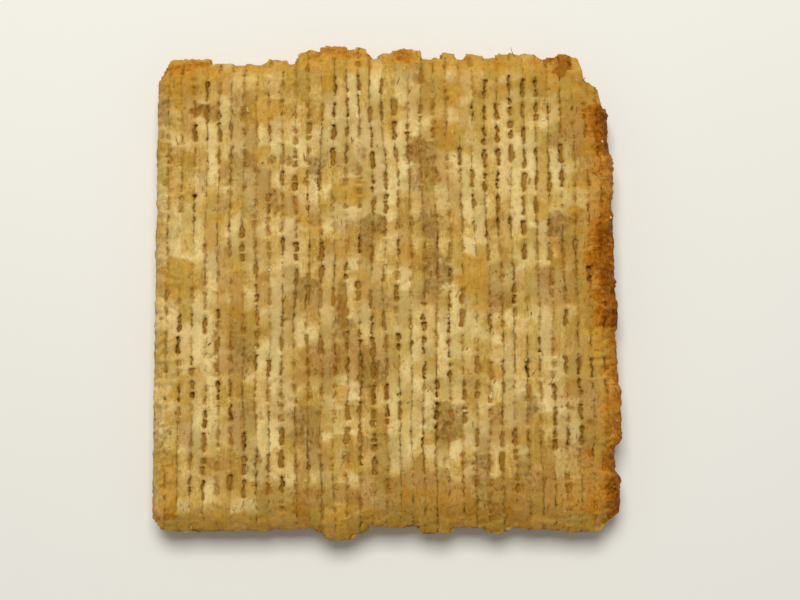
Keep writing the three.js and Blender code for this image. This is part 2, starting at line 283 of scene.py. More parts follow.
BRIGHT_SPOTS = spots(
    (-2.0, 18.6, 5.4, 4.6, 0.95), (-2.1, 21.4, 1.8, 2.2, 1.0), (13.9, 11.6, 2.3, 8.8, 1.0),
    (15.8, 12.1, 3.0, 2.2, 0.9), (1.4, -12.1, 1.8, 4.0, 1.0), (4.6, -4.0, 4.2, 2.8, 0.85),
    (1.4, -1.9, 1.9, 3.4, 0.9), (13.9, -5.0, 2.0, 5.4, 1.0), (7.5, -13.2, 1.6, 2.3, 0.9),
    (-2.1, 12.0, 1.8, 4.6, 0.9), (-5.3, -2.3, 1.6, 2.6, 0.8), (-11.7, -6.9, 1.7, 1.8, 0.8),
    (7.5, 2.5, 1.7, 1.7, 0.9), (-21.8, -2.0, 1.4, 13.0, 0.5), (13.9, 18.6, 2.0, 2.0, 1.0),
    (7.5, 18.4, 1.8, 1.5, 0.7), (10.8, 21.8, 2.0, 1.4, 0.6), (9.0, -23.0, 4.6, 1.1, 0.5),
    (-11.7, -0.9, 1.6, 1.6, 0.6), (10.7, -10.2, 1.6, 1.4, 0.7), (-18.1, -13.5, 1.6, 1.4, 0.6),
    (-20.2, 5.2, 2.6, 6.5, 0.75), (-19.5, -4.5, 2.6, 4.5, 0.6), (-5.2, 1.2, 1.5, 2.6, 0.7),
    (-8.5, -3.6, 1.6, 1.4, 0.6), (-13.0, 4.4, 3.4, 2.6, 0.85), (-0.6, 9.2, 2.7, 1.4, 0.6),
    (-10.6, -10.0, 2.4, 2.2, 0.6), (8.4, 6.0, 2.0, 4.4, 0.75), (4.3, -16.5, 1.4, 1.4, 0.9),
    (-13.0, -23.0, 9.0, 1.1, 0.8), (11.9, -16.4, 2.4, 1.6, 0.6), (-18.3, -19.7, 2.6, 1.8, 0.9),
    (-9.0, 15.3, 2.0, 2.0, 0.5),
)
BROWNED_SPOTS = spots(
    (19.8, 15.3, 2.8, 3.6, 1.0), (20.2, 21.0, 1.8, 1.6, 0.8), (20.3, 3.4, 2.4, 5.4, 1.0),
    (20.6, -13.8, 1.8, 6.6, 0.7), (17.0, 2.6, 1.4, 4.4, 0.7), (4.4, 20.1, 2.0, 2.2, 0.7),
    (-11.7, 9.0, 1.8, 1.6, 0.6), (-14.9, 12.1, 1.5, 1.8, 0.5), (4.3, 12.0, 2.0, 2.0, 0.6),
    (-2.1, 5.6, 1.6, 1.6, 0.7), (-8.6, -0.6, 1.8, 1.5, 0.7), (10.7, 0.6, 1.5, 2.8, 0.7),
    (4.4, -0.6, 1.4, 1.3, 0.6), (-14.9, -3.5, 1.6, 2.5, 0.4), (-4.8, -7.2, 3.6, 1.9, 1.0),
    (-20.8, -13.4, 1.8, 1.8, 0.5), (-14.9, -13.4, 1.8, 1.8, 0.6), (10.7, -13.2, 1.4, 1.6, 0.7),
    (-7.0, -20.2, 6.0, 1.5, 1.0), (9.5, -19.9, 13.5, 2.2, 1.0), (4.6, 15.2, 1.9, 1.7, 0.9),
    (7.5, -7.2, 1.6, 1.5, 0.6), (10.9, -0.8, 1.7, 1.6, 0.9), (17.2, -10.4, 1.5, 1.8, 0.7),
    (17.4, -16.6, 2.2, 1.7, 0.7), (-11.4, 2.4, 1.5, 1.4, 0.5), (-20.5, 19.5, 2.6, 3.0, 0.4),
    (17.5, 21.5, 3.5, 1.5, 0.5),
)
SALT_PLACES = [
    (21.5, 14.9), (15.6, 17.0), (-11.6, 2.0), (6.1, -2.6), (22.3, 7.3), (8.6, 4.6), (-4.7, 13.8),
]
SPOT_POWER = 3
SPOT_FADE = (0.35, 1.6)


class Hair(NamedTuple):
    """A fine fibre: where it starts, its heading in degrees from +X, its length and how far it turns."""

    x: float
    y: float
    heading: float
    length: float
    turning: float
    is_pale: bool


HAIRS = [
    Hair(12.9, 23.6, 122.0, 1.3, -30.0, False),
    Hair(-15.5, 1.3, -62.0, 1.2, 20.0, False),
    Hair(-2.5, -10.7, -64.0, 1.7, 10.0, False),
    Hair(-4.3, -2.4, 82.0, 2.4, 15.0, False),
    Hair(6.2, -0.7, -48.0, 1.5, 75.0, True),
    Hair(22.3, -19.3, -30.0, 0.9, 60.0, False),
]


def noise_at(places, size, seed):
    """Smooth noise, about -0.7 to 0.7, at each place, in lumps of that size. Size may differ by axis."""
    scaled = places / np.asarray(size) + 17.31 * seed
    return np.array([noise.noise(place) for place in scaled.tolist()])


class Ripple(NamedTuple):
    """Smooth noise over a net: the size of its lumps, how much it does, and its own draw."""

    size: float | tuple
    amount: float
    draw: int

    def at(self, x, y, seed=0, level=0.0):
        places = np.column_stack([x, y, np.full_like(y, level)])
        return self.amount * noise_at(places, self.size, seed + self.draw)


class Band(NamedTuple):
    """What happens along an edge: how strongly, how ragged, and between which distances it fades."""

    strength: float
    raggedness: float
    start: float
    end: float

    def at(self, distance, unevenness):
        return self.strength * (
            1.0 - smooth_step(distance + self.raggedness * unevenness, self.start, self.end)
        )


WIDE = Ripple(3.1, 1.0, 2)
SMALL = Ripple((0.9, 1.6, 1.0), 1.0, 3)
BRAN_CLOUDS = Ripple((1.5, 2.4, 1.0), 1.0, 4)
DULL_CLOUDS = Ripple((2.2, 3.4, 1.0), 1.0, 6)
HUE_CLOUDS = Ripple((1.1, 2.4, 1.0), 1.0, 7)
NEAR_BORDER = Ripple(0.8, 0.6, 0)
BROAD_BORDER = Ripple(2.2, 1.6, 5)
TORN_BORDER = Ripple(0.8, 0.24, 0)

FUSED_FAR = Band(1.0, 1.5, 1.0, 2.6)
FUSED_NEAR = Band(1.0, 1.5, 0.9, 2.6)
FUSED_RIGHT = Band(1.0, 1.0, 1.6, 2.8)
FUSED_LEFT = Band(1.0, 1.2, 1.6, 3.2)
TOASTED_RIGHT = Band(0.58, 1.1, 0.2, 3.4)
TOASTED_ENDS = Band(0.32, 0.9, 0.2, 2.6)
TOASTED_LEFT = Band(0.12, 0.7, 0.2, 1.8)

STRAY_GOLD = 0.7
STRAY_GOLD_RISE = (0.3, 0.5)
STRAY_BRAN = 0.6
STRAY_BRAN_RISE = (0.32, 0.5)
END_GOLD = 0.65
SIDE_GOLD = 0.3
SMALL_IN_GOLD = 0.5
SMALL_IN_TOAST = 0.7
DULL_SHARE = 0.5
TOAST_SHARE = 0.7


def ragged(x, y, border, seed):
    """The same places, each moved a little, so that a patch gets an uneven border."""
    return x + border.at(x, y, seed), y + border.at(x, y, seed + 1)


def spots_at(marks, x, y):
    """How strongly the spots mark each place, from 0 to 1."""
    mark = np.zeros_like(x)
    for spot in marks:
        across = np.abs((x - spot.x) / spot.across) ** SPOT_POWER
        along = np.abs((y - spot.y) / spot.along) ** SPOT_POWER
        mark = np.maximum(mark, spot.strength * (1.0 - smooth_step(across + along, *SPOT_FADE)))
    return mark


class Crust:
    """What baking and pressing have done to each place of a net."""

    def __init__(self, x, y, seed, is_shown, block=None):
        """Block holds the places whose patches the given ones show, when these follow strands and webs."""
        self.x = x
        self.y = y
        self.seed = seed
        self.shown = 1.0 if is_shown else 0.0
        self.block = block or (x, y)
        self.wide = WIDE.at(*self.block, seed)
        self.small = SMALL.at(*self.block, seed)
        self._measure_edges()
        self._mark_patches()
        self._mark_toast()

    def marks(self, spots_of_kind, x, y):
        """How strongly the spots mark each place of the shown face, and 0 on any other face."""
        return self.shown * spots_at(spots_of_kind, x, y)

    def _measure_edges(self):
        self.to_right = right_side(self.y) - self.x
        self.to_left = self.x - left_side(self.y)
        to_far = far_end(self.x) - self.y
        to_near = self.y - near_end(self.x)
        self.to_end = np.minimum(to_far, to_near)
        self.edge = np.minimum(np.minimum(self.to_right, self.to_left), self.to_end)
        self.fused_end = np.maximum(FUSED_FAR.at(to_far, self.wide), FUSED_NEAR.at(to_near, self.wide))
        right = FUSED_RIGHT.at(self.to_right, self.wide)
        self.fused_side = np.maximum(right, FUSED_LEFT.at(self.to_left, self.wide))

    def _mark_patches(self):
        near = ragged(*self.block, NEAR_BORDER, self.seed)
        broad = ragged(*self.block, BROAD_BORDER, self.seed)
        bright = self.marks(BRIGHT_SPOTS, *broad)
        stray_gold = smooth_step(self.wide + SMALL_IN_GOLD * self.small, *STRAY_GOLD_RISE)
        gold = self.marks(GOLDEN_SPOTS, *near) + STRAY_GOLD * (1.0 - bright) * stray_gold
        self.gold = np.clip(gold + END_GOLD * self.fused_end + SIDE_GOLD * self.fused_side, 0.0, 1.0)
        stray_bran = smooth_step(BRAN_CLOUDS.at(*self.block, self.seed), *STRAY_BRAN_RISE)
        bran = self.marks(BRAN_SPOTS, *near) + STRAY_BRAN * (1.0 - bright) * stray_bran
        self.bran = np.clip(bran, 0.0, 1.0)
        self.shade = bright - self.marks(BROWNED_SPOTS, *broad)
        self.dull = DULL_CLOUDS.at(*self.block, self.seed) + DULL_SHARE * self.marks(DULL_SPOTS, *broad)
        self.hue = HUE_CLOUDS.at(*self.block, self.seed)
        self.torn = self.marks(TORN_SPOTS, *ragged(self.x, self.y, TORN_BORDER, self.seed))

    def _mark_toast(self):
        near = ragged(*self.block, NEAR_BORDER, self.seed)
        right = TOASTED_RIGHT.at(self.to_right + SMALL_IN_TOAST * self.small, self.wide)
        ends = TOASTED_ENDS.at(self.to_end, self.wide)
        bands = np.maximum(right, np.maximum(ends, TOASTED_LEFT.at(self.to_left, self.wide)))
        self.toast = np.clip(bands + TOAST_SHARE * spots_at(TOASTED_SPOTS, *near), 0.0, 1.0)


# Nets of strands


class Net(NamedTuple):
    """One woven net of the stack. Lines cross each strand, and rows lie between two webs."""

    name: str
    height: float
    thickness: float
    strands: int
    webs: int
    lines: int
    rows_per_web: int
    seed: int
    facing: int

    @property
    def is_shown(self):
        return self.facing > 0


UPPER_SEED = 11
LOWER_SEED = 47
INNER_SEED = 101
INNER_SEED_STEP = 10
UPPER_DEPTH = 0.55
LOWER_HEIGHT = 0.42
OUTER_THICKNESS = 0.84
INNER_THICKNESS = 0.78
INNER_SHIFT = 0.42

GRID_MARGIN = 0.6
SEAM_SHARE = 0.001
WEB_SHARE = 0.07
SLOT_END_PLAY = 0.15
SLOT_TAPER = 0.45
SLOT_WIDTH_PLAY = 0.4
OPEN_IN_SPOTS = 0.8
OPEN_IN_PALE = 0.25
SHUT_IN_GOLD = 0.55
SHUT_IN_BRAN = 0.15
FULLNESS_START = -0.15
FULLNESS_RANGE = 1.2
FULLNESS_FUSED = 0.35
FUSED_EDGE_SHARE = 0.6
BLOCK_ACROSS = 0.55
BLOCK_ALONG = 0.22
BLOCK_STEP = (0.55, 1.0)
STRETCH_SHIFT = 0.25
BRIDGE_CHANCE = 0.35
BRIDGE_PLACES = (0.36, 0.64)
BRIDGE_SHARE = 0.055
BRIDGE_FILL = 0.8
BRIDGE_FADE = (0.3, 1.3)
WEB_FADE = (0.3, 1.2)
GAP_SHIFT = 0.1


class WeaveGrid:
    """The even grid that a net starts from: its columns, its rows, and the slots that it leaves open."""

    def __init__(self, net, weave):
        self.net = net
        self.rng = np.random.default_rng(net.seed)
        self.slot_width = weave.slot_width / MM
        self.width = 2 * half_width()
        self.pitch = self.width / net.strands
        self.web_pitch = weave.web_pitch / MM * weave.web_count / net.webs
        self.web_middle = weave.web_middle / MM
        self.open_share = weave.open_share
        self._make_columns()
        self._make_rows()
        self._draw_slots()

    def _make_columns(self):
        strand, across, is_gap = [], [], []
        for number in range(self.net.strands):
            if number:
                strand.append(number - 1)
                across.append(0.0)
                is_gap.append(True)
            for u in np.linspace(-1.0, 1.0, self.net.lines):
                strand.append(number)
                across.append(u)
                is_gap.append(False)
        self.strand = np.array(strand)
        self.across = np.array(across)
        self.is_gap = np.array(is_gap)

    def _make_rows(self):
        step = self.web_pitch / self.net.rows_per_web
        far = FAR_EDGE + max(flap.reach for flap in FAR_FLAPS) + GRID_MARGIN
        near = NEAR_EDGE - max(flap.reach for flap in NEAR_FLAPS) - GRID_MARGIN
        count = int(math.ceil((far - near) / step)) + 1
        self.row_y = near + step * np.arange(count)
        self.row_web = (self.row_y - self.web_middle) / self.web_pitch + (self.net.webs - 1) / 2

    def _draw_slots(self):
        """Draws how full each slot is, and where the open ones start and end."""
        shape = (self.net.strands - 1, self.net.webs + 3)
        crust, chance = self._open_chance(shape)
        draw = self.rng.random(shape)
        self.is_open = draw < chance.reshape(shape)
        fused_edge = FUSED_EDGE_SHARE * np.maximum(crust.fused_side, crust.fused_end)
        fused = np.maximum(crust.gold, fused_edge).reshape(shape)
        fullness = FULLNESS_RANGE * self.rng.random(shape) + FULLNESS_START + FULLNESS_FUSED * fused
        self.fill = np.clip(np.where(self.is_open, 0.0, fullness), 0.0, 1.0)
        self.slot_start = WEB_SHARE + SLOT_END_PLAY * self.rng.random(shape)
        self.slot_end = 1.0 - WEB_SHARE - SLOT_END_PLAY * self.rng.random(shape)
        has_bridge = self.rng.random(shape) < BRIDGE_CHANCE
        self.bridge = np.where(has_bridge, self.rng.uniform(*BRIDGE_PLACES, shape), -1.0)
        self.gap_shift = np.clip(self.rng.normal(0.0, GAP_SHIFT, shape[0]), -2 * GAP_SHIFT, 2 * GAP_SHIFT)
        self.own_width = 1.0 + SLOT_WIDTH_PLAY * self.rng.uniform(-1.0, 1.0, shape)
        self.stretch_shift = self.rng.normal(0.0, STRETCH_SHIFT, self.net.strands)

    def _open_chance(self, shape):
        """The crust at each slot, and the chance that the slot is open."""
        gap_x = left_side(np.zeros(1)) + self.pitch * (np.arange(shape[0]) + 1)
        slot_y = (np.arange(shape[1]) - 0.5 - (self.net.webs + 1) / 2) * self.web_pitch
        x, y = [part.ravel() for part in np.meshgrid(gap_x, slot_y, indexing="ij")]
        crust = Crust(x, y, self.net.seed, self.net.is_shown)
        chance = self.open_share + OPEN_IN_SPOTS * crust.marks(OPEN_SPOTS, x, y)
        chance = chance + OPEN_IN_PALE * crust.marks(PALE_SPOTS, x, y)
        chance = chance - SHUT_IN_GOLD * crust.gold - SHUT_IN_BRAN * crust.bran
        return crust, chance * (1.0 - crust.fused_side) * (1.0 - crust.fused_end)

    def slot_of(self, gap, web_place):
        """The slot's number along its gap, and the share of the way through it."""
        place = web_place + self.gap_shift[gap]
        number = np.floor(place).astype(int)
        return np.clip(number + 1, 0, self.net.webs + 2), place - number

    def open_cells(self):
        """True for each cell, by column and row, that lies in an open slot."""
        columns = len(self.strand) - 1
        cell_web = (self.row_web[:-1] + self.row_web[1:]) / 2
        cells = np.zeros((columns, len(cell_web)), bool)
        for column in range(columns):
            if self.is_gap[column] or self.is_gap[column + 1]:
                gap = self.strand[column] if self.is_gap[column] else self.strand[column + 1]
                slot, share = self.slot_of(gap, cell_web)
                within = (share > self.slot_start[gap, slot]) & (share < self.slot_end[gap, slot])
                bridged = np.abs(share - self.bridge[gap, slot]) < BRIDGE_SHARE
                cells[column] = self.is_open[gap, slot] & within & ~bridged
        return cells

    def middles(self, columns):
        """X of the middle of each column's strand or gap, before the strands wander."""
        return left_side(np.zeros(1)) + self.middle_number(columns) * self.pitch

    def middle_number(self, columns):
        """The middle of each column's strand or gap, in strands from the left side."""
        strand = self.strand[columns]
        return np.where(self.is_gap[columns], strand + 1.0, strand + 0.5)

    def even_x(self, columns):
        """X of each column, when all of them are the same distance apart."""
        return left_side(np.zeros(len(columns))) + self.width * columns / (len(self.strand) - 1)

    def blocks(self, columns, web_place, x, y):
        """The places that give each vertex its patches: drawn to the middle of its stretch of strand."""
        place = web_place + self.stretch_shift[self.strand[columns]]
        number = np.floor(place)
        step = number + smooth_step(place - number, *BLOCK_STEP) + 0.5
        stretch_y = y + (step - place) * self.web_pitch
        return blend(x, self.middles(columns), BLOCK_ACROSS), blend(y, stretch_y, BLOCK_ALONG)

    def gap_beside(self, columns):
        """The gap that each column lies in, or else the nearer one beside its strand."""
        strand = self.strand[columns]
        beside = np.where(self.across[columns] > 0, strand, strand - 1)
        return np.where(self.is_gap[columns], strand, beside)

    def crossing(self, gap, web_place):
        """How near each place is to a web or a bridge across its gap: 1 at a web, 0 within a slot."""
        gap = np.clip(gap, 0, self.net.strands - 2)
        slot, share = self.slot_of(gap, web_place)
        from_start = share / self.slot_start[gap, slot]
        from_end = (1.0 - share) / (1.0 - self.slot_end[gap, slot])
        at_web = 1.0 - smooth_step(np.minimum(from_start, from_end), *WEB_FADE)
        from_bridge = np.abs(share - self.bridge[gap, slot]) / BRIDGE_SHARE
        at_bridge = BRIDGE_FILL * (1.0 - smooth_step(from_bridge, *BRIDGE_FADE))
        return np.maximum(at_web, at_bridge)

    def opening(self, gap, web_place):
        """The slot's width at each place, as a share of the usual one: it tapers to the webs."""
        gap = np.clip(gap, 0, self.net.strands - 2)
        slot = self.slot_of(gap, web_place)[0]
        return self.own_width[gap, slot] - SLOT_TAPER * self.crossing(gap, web_place)

    def closure(self, gap, web_place):
        """How full the gap is at each place: 1 at a web, and less within a slot."""
        gap = np.clip(gap, 0, self.net.strands - 2)
        slot = self.slot_of(gap, web_place)[0]
        return np.maximum(self.fill[gap, slot], self.crossing(gap, web_place))

    def parts(self):
        """The column ranges of the net's pieces: a fine net is made in two, which meet in a gap."""
        last = len(self.strand) - 1
        if not self.net.is_shown:
            return [(0, last)]
        seam = int(np.flatnonzero(self.is_gap)[(self.net.strands - 1) // 2])
        return [(0, seam), (seam, last)]


FAR_NIBBLES = Ripple(0.45, 0.2, 5)
FAR_WAVES = Ripple(1.1, 0.34, 6)
NEAR_NIBBLES = Ripple(0.42, 0.2, 7)
NEAR_WAVES = Ripple(1.3, 0.24, 8)
OUTLINE_SEEDS = 7
OUTLINE_LEVEL = 0.35

WANDER = Ripple((1.0, 4.5, 1.0), 0.15, 8)
WANDER_APART = 5.3
EDGE_APART = 2.1
EDGE_LEVEL = 9.0
EDGE_SWELL = Ripple((1.0, 0.9, 1.0), 0.14, 9)
EDGE_NIBBLES = Ripple((1.0, 0.28, 1.0), 0.26, 19)
DRIFT = Ripple((5.0, 9.0, 1.0), 0.5, 24)
FINE_CRAGS = Ripple(0.55, 1.0, 10)
WIDE_CRAGS = Ripple(1.5, 0.8, 11)
CRAGS_APART = 3.0
LEFT_LINE_PLAY = 0.12
RIGHT_LINE_PLAY = 0.3

GAP_FILLING = Ripple((1.0, 0.22, 1.0), 0.9, 23)
GAPS_APART = 6.1
EDGE_PROFILE_OPEN = 0.28
EDGE_PROFILE_CLOSED = 0.86
GAP_PROFILE_SHALLOW = 0.12
GAP_PROFILE_FULL = 0.82
FUSED_PROFILE = 0.95
FUSED_SHARE = 0.7
CROWN_POWER = 2.4
# The groove mask is partly the brown between strands and partly painted shade in the gaps and down each
# strand's flanks.
SEAM_GROOVE = 0.42
FLANK_GROOVE = 0.7
FLANK_POWER = 4

BROAD_SWELL = Ripple(6.5, 0.14, 12)
PATCH_SWELL = Ripple((2.2, 3.0, 1.0), 0.12, 13)
STRAND_SWELL = Ripple((1.0, 3.0, 1.0), 0.12, 14)
SWELLS_APART = 7.7
CRUMBLE = Ripple(0.42, 1.0, 15)
LUMPS = Ripple(0.95, 1.0, 16)
PLAIN_ROUGHNESS = 0.06
BRAN_ROUGHNESS = 0.14
TORN_ROUGHNESS = 0.2
TORN_DEPTH = 0.28
GOLD_FLATTENING = 0.6
CRAGGY_RIM = (1.2, 3.2)
CRAGGY_END_SHARE = 0.5
CRAGGY_LUMPS = 0.45
CRAGGY_CRUMBLE = 0.3

TONES = [
    Ripple((1.0, 8.0, 1.0), 0.7, 17),
    Ripple((1.0, 1.7, 1.0), 0.8, 21),
]
PATCH_TONES = [
    Ripple((4.0, 8.0, 1.0), 0.8, 18),
    Ripple((1.3, 3.0, 1.0), 0.95, 22),
]
TONES_APART = 9.1
MIDDLE_TONE = 0.48


def net_outline(grid, x):
    """Y of the net's own ragged near and far cuts at x."""
    line = np.zeros_like(x)
    seed = grid.net.seed % OUTLINE_SEEDS
    level = OUTLINE_LEVEL * grid.net.height
    far = FAR_NIBBLES.at(x, line, seed, level) + FAR_WAVES.at(x, line, 0, level)
    near = NEAR_NIBBLES.at(x, line, seed, level) + NEAR_WAVES.at(x, line, 0, level)
    return near_end(x) + near, far_end(x) + far


def place_columns(grid, columns, web_place, y):
    """X of each vertex: strands wander a little, and their edges swell and shrink."""
    strand = grid.strand[columns]
    across = grid.across[columns]
    seed = grid.net.seed
    wander = WANDER.at(strand * WANDER_APART, y, seed)
    edge_line = strand * WANDER_APART + np.sign(across) * EDGE_APART
    swell = EDGE_SWELL.at(edge_line, y, seed, EDGE_LEVEL) + EDGE_NIBBLES.at(edge_line, y, seed, EDGE_LEVEL)
    slot_width = grid.slot_width * grid.opening(grid.gap_beside(columns), web_place)
    half = (grid.pitch - slot_width) / 2 + swell * np.abs(across)
    middle = grid.middle_number(columns) * grid.pitch
    drift = DRIFT.at(middle, y, seed) * np.sin(math.pi * middle / grid.width)
    place = middle + across * half + wander + drift
    crags_x = strand * CRAGS_APART
    crag = FINE_CRAGS.at(crags_x, y, 0, grid.net.height) + WIDE_CRAGS.at(crags_x, y, 0, grid.net.height)
    place = np.where(columns == 0, LEFT_LINE_PLAY * crag, place)
    place = np.where(columns == len(grid.strand) - 1, grid.width + RIGHT_LINE_PLAY * crag, place)
    share = place / grid.width
    even = blend(left_side(y), even_right_side(y), share)
    return even + flaps_reach(RIGHT_FLAPS, y) * np.clip(share, 0.0, 1.0) ** RIGHT_FLAP_FALL


def profile(grid, columns, web_place, fused):
    """How full a strand or a web is at each vertex, as a share of the net's thickness, and its groove mask:
    the brown in the gaps, with painted shade in them and on the strands' flanks.
    """
    across = grid.across[columns]
    is_gap = grid.is_gap[columns]
    gap = grid.gap_beside(columns)
    uneven = GAP_FILLING.at(gap * GAPS_APART, web_place, grid.net.seed)
    closed = np.clip(grid.closure(gap, web_place) + uneven, 0.0, 1.0)
    edge = blend(EDGE_PROFILE_OPEN, EDGE_PROFILE_CLOSED, closed)
    edge = blend(edge, FUSED_PROFILE, FUSED_SHARE * fused * closed)
    crown = 1.0 - (1.0 - edge) * np.abs(across) ** CROWN_POWER
    between = blend(GAP_PROFILE_SHALLOW, GAP_PROFILE_FULL, closed)
    between = blend(between, FUSED_PROFILE, FUSED_SHARE * fused * closed)
    # Groove mask: brown in open gaps and closed seams, with painted shade there and on the strand flanks.
    seam = SEAM_GROOVE * (1.0 - fused) * (1.0 - grid.crossing(gap, web_place))
    dip = (1.0 - closed) + seam * closed
    groove = np.where(is_gap, dip, FLANK_GROOVE * dip * np.abs(across) ** FLANK_POWER)
    return np.where(is_gap, between, crown), groove


def relief(grid, columns, x, y, crust):
    """How far each vertex stands above the net's even height."""
    seed = grid.net.seed
    swell = BROAD_SWELL.at(x, y, seed) + PATCH_SWELL.at(x, y, seed)
    strand = STRAND_SWELL.at(grid.strand[columns] * SWELLS_APART, y, seed)
    crumble = CRUMBLE.at(x, y, seed)
    lumps = LUMPS.at(x, y, seed)
    roughness = PLAIN_ROUGHNESS + BRAN_ROUGHNESS * crust.bran + TORN_ROUGHNESS * crust.torn
    near_rim = 1.0 - smooth_step(crust.edge, *CRAGGY_RIM)
    fused = np.maximum(crust.fused_side, CRAGGY_END_SHARE * crust.fused_end)
    craggy = near_rim * fused * (CRAGGY_LUMPS * lumps + CRAGGY_CRUMBLE * crumble)
    flatten = 1.0 - GOLD_FLATTENING * crust.gold
    return swell + strand * flatten + roughness * crumble + craggy - TORN_DEPTH * crust.torn


def net_tone(grid, columns, block):
    """The light or dark of each stretch of strand, from 0 to 1."""
    block_x, block_y = block
    seed = grid.net.seed
    tone = MIDDLE_TONE
    for ripple in TONES:
        tone = tone + ripple.at(grid.strand[columns] * TONES_APART, block_y, seed)
    for ripple in PATCH_TONES:
        tone = tone + ripple.at(block_x, block_y, seed)
    return np.clip(tone, 0.0, 1.0)


SHEET_THICKNESS = 0.5
CUT_SLACK = 0.35
RIM_START = 0.15
RIM_WIDTH = 0.6
RIM_LEAST = 0.12
PRESS_LEAST = 0.4
PRESSED_RELIEF = 0.7
# Painted shade: places below the net's own face, in slots and within the stack, and torn hollows are
# darkened, less so near the rim.
DEEP_START = 0.2
DEEP_RISE = (0.2, 0.8)
DEEP_FROM_EDGE = (0.2, 1.6)
TORN_SHADE = 0.6
TOP_HEADROOM = 0.05


def is_cut_away(grid, column, row, near, far):
    """Whether a cell of the grid lies past the net's near or far cut."""
    slack = CUT_SLACK * (grid.row_y[1] - grid.row_y[0])
    return grid.row_y[row] > far[column] - slack or grid.row_y[row + 1] < near[column] + slack


def cut_grid(grid, first, last):
    """A closed sheet of the net's topology: an even grid without its slots, given a second side."""
    columns = len(grid.strand)
    rows = len(grid.row_y)
    bm = bmesh.new()
    bmesh.ops.create_grid(bm, x_segments=columns - 1, y_segments=rows - 1, size=1.0)
    opened = grid.open_cells()
    near, far = net_outline(grid, grid.even_x(np.arange(columns)))
    doomed = []
    for face in bm.faces:
        middle = face.calc_center_median()
        column = int((middle.x + 1.0) / 2 * (columns - 1))
        row = int((middle.y + 1.0) / 2 * (rows - 1))
        is_elsewhere = not first <= column < last
        if is_elsewhere or opened[column, row] or is_cut_away(grid, column, row, near, far):
            doomed.append(face)
    bmesh.ops.delete(bm, geom=doomed, context="FACES")
    bmesh.ops.solidify(bm, geom=bm.faces[:], thickness=SHEET_THICKNESS)
    sharpen_seams(bm, [2.0 * end / (columns - 1) - 1.0 for end in (first, last) if 0 < end < columns - 1])
    return bm


def sharpen_seams(bm, seams):
    """Keeps the walls at a seam between two pieces from being shaded as if they were round."""
    for edge in bm.edges:
        ends = [vertex.co.x for vertex in edge.verts]
        if any(max(abs(end - seam) for end in ends) < SEAM_SHARE for seam in seams):
            edge.smooth = False


def sheet_places(bm, grid):
    """The column, the row and the side, 1 for the upper and -1 for the lower, of each vertex."""
    flat = np.array([vertex.co for vertex in bm.verts])
    columns = np.rint((flat[:, 0] + 1.0) / 2 * (len(grid.strand) - 1)).astype(int)
    rows = np.rint((flat[:, 1] + 1.0) / 2 * (len(grid.row_y) - 1)).astype(int)
    return columns, rows, np.where(flat[:, 2] > -SHEET_THICKNESS / 2, 1.0, -1.0)


def shape_net(bm, grid):
    """Moves the sheet's vertices to their places, and returns what the crust material reads at each."""
    net = grid.net
    columns, rows, side = sheet_places(bm, grid)
    web_place = grid.row_web[rows]
    near, far = net_outline(grid, grid.even_x(columns))
    y = np.clip(grid.row_y[rows], near, far)
    x = place_columns(grid, columns, web_place, y)
    block = grid.blocks(columns, web_place, x, y)
    crust = Crust(x, y, net.seed, net.is_shown, block)
    press = squeeze(x, y)
    fused_edge = FUSED_EDGE_SHARE * np.maximum(crust.fused_side, crust.fused_end)
    fullness, groove = profile(grid, columns, web_place, np.clip(crust.gold + fused_edge, 0.0, 1.0))
    rim = np.sqrt(np.clip((crust.edge + RIM_START) / RIM_WIDTH, RIM_LEAST, 1.0))
    half = net.thickness / 2 * fullness * np.maximum(press, PRESS_LEAST) * rim
    raised = relief(grid, columns, x, y, crust) * blend(PRESSED_RELIEF, 1.0, press)
    if net.facing < 0:
        raised = np.maximum(raised, 0.0)
    z = MIDDLE + (net.height - MIDDLE) * press + side * half + raised
    z = np.clip(z, 0.0, THICKNESS + TOP_HEADROOM)
    for vertex, place in zip(bm.verts, np.column_stack([x, y, z]) * MM):
        vertex.co = place
    # Painted shade: depth below the face, faded near the rim, and the torn hollows darken the crust where
    # shade falls.
    inner = shade_depth_share(net, z, press) * smooth_step(crust.edge, *DEEP_FROM_EDGE)
    return {
        "tone": net_tone(grid, columns, block),
        "dull": crust.dull,
        "hue": crust.hue,
        "gold": crust.gold,
        "bran": crust.bran,
        "pale": crust.marks(PALE_SPOTS, grid.middles(columns), y),
        "shade": crust.shade,
        "toast": crust.toast,
        "groove": groove,
        "deep": np.clip(inner + TORN_SHADE * crust.torn, 0.0, 1.0),
    }


def shade_depth_share(net, z, press):
    """How far each place lies below its own face, for the painted shade in slots and within the stack: 1 far
    down in the stack, and 0 on an outer net's crown.
    """
    crown = THICKNESS if net.facing >= 0 else 0.0
    depth = np.abs(crown - z) - (1.0 - press) * MIDDLE - DEEP_START
    return smooth_step(depth, *DEEP_RISE) if net.facing else np.ones_like(depth)


def finish_piece(name, bm, material, attributes=None, is_smooth=True):
    """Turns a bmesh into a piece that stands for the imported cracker."""
    mesh = bpy.data.meshes.new(name)
    bm.to_mesh(mesh)
    bm.free()
    for attribute, values in (attributes or {}).items():
        made = mesh.attributes.new(attribute, "FLOAT", "POINT")
        made.data.foreach_set("value", np.asarray(values, np.float32))
    mesh.polygons.foreach_set("use_smooth", np.full(len(mesh.polygons), is_smooth))
    mesh.materials.append(material)
    piece = bpy.data.objects.new(name, mesh)
    bpy.context.scene.collection.objects.link(piece)
    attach(piece, BODY)
    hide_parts(NODE)


# Crumbs, bran, hairs and salt

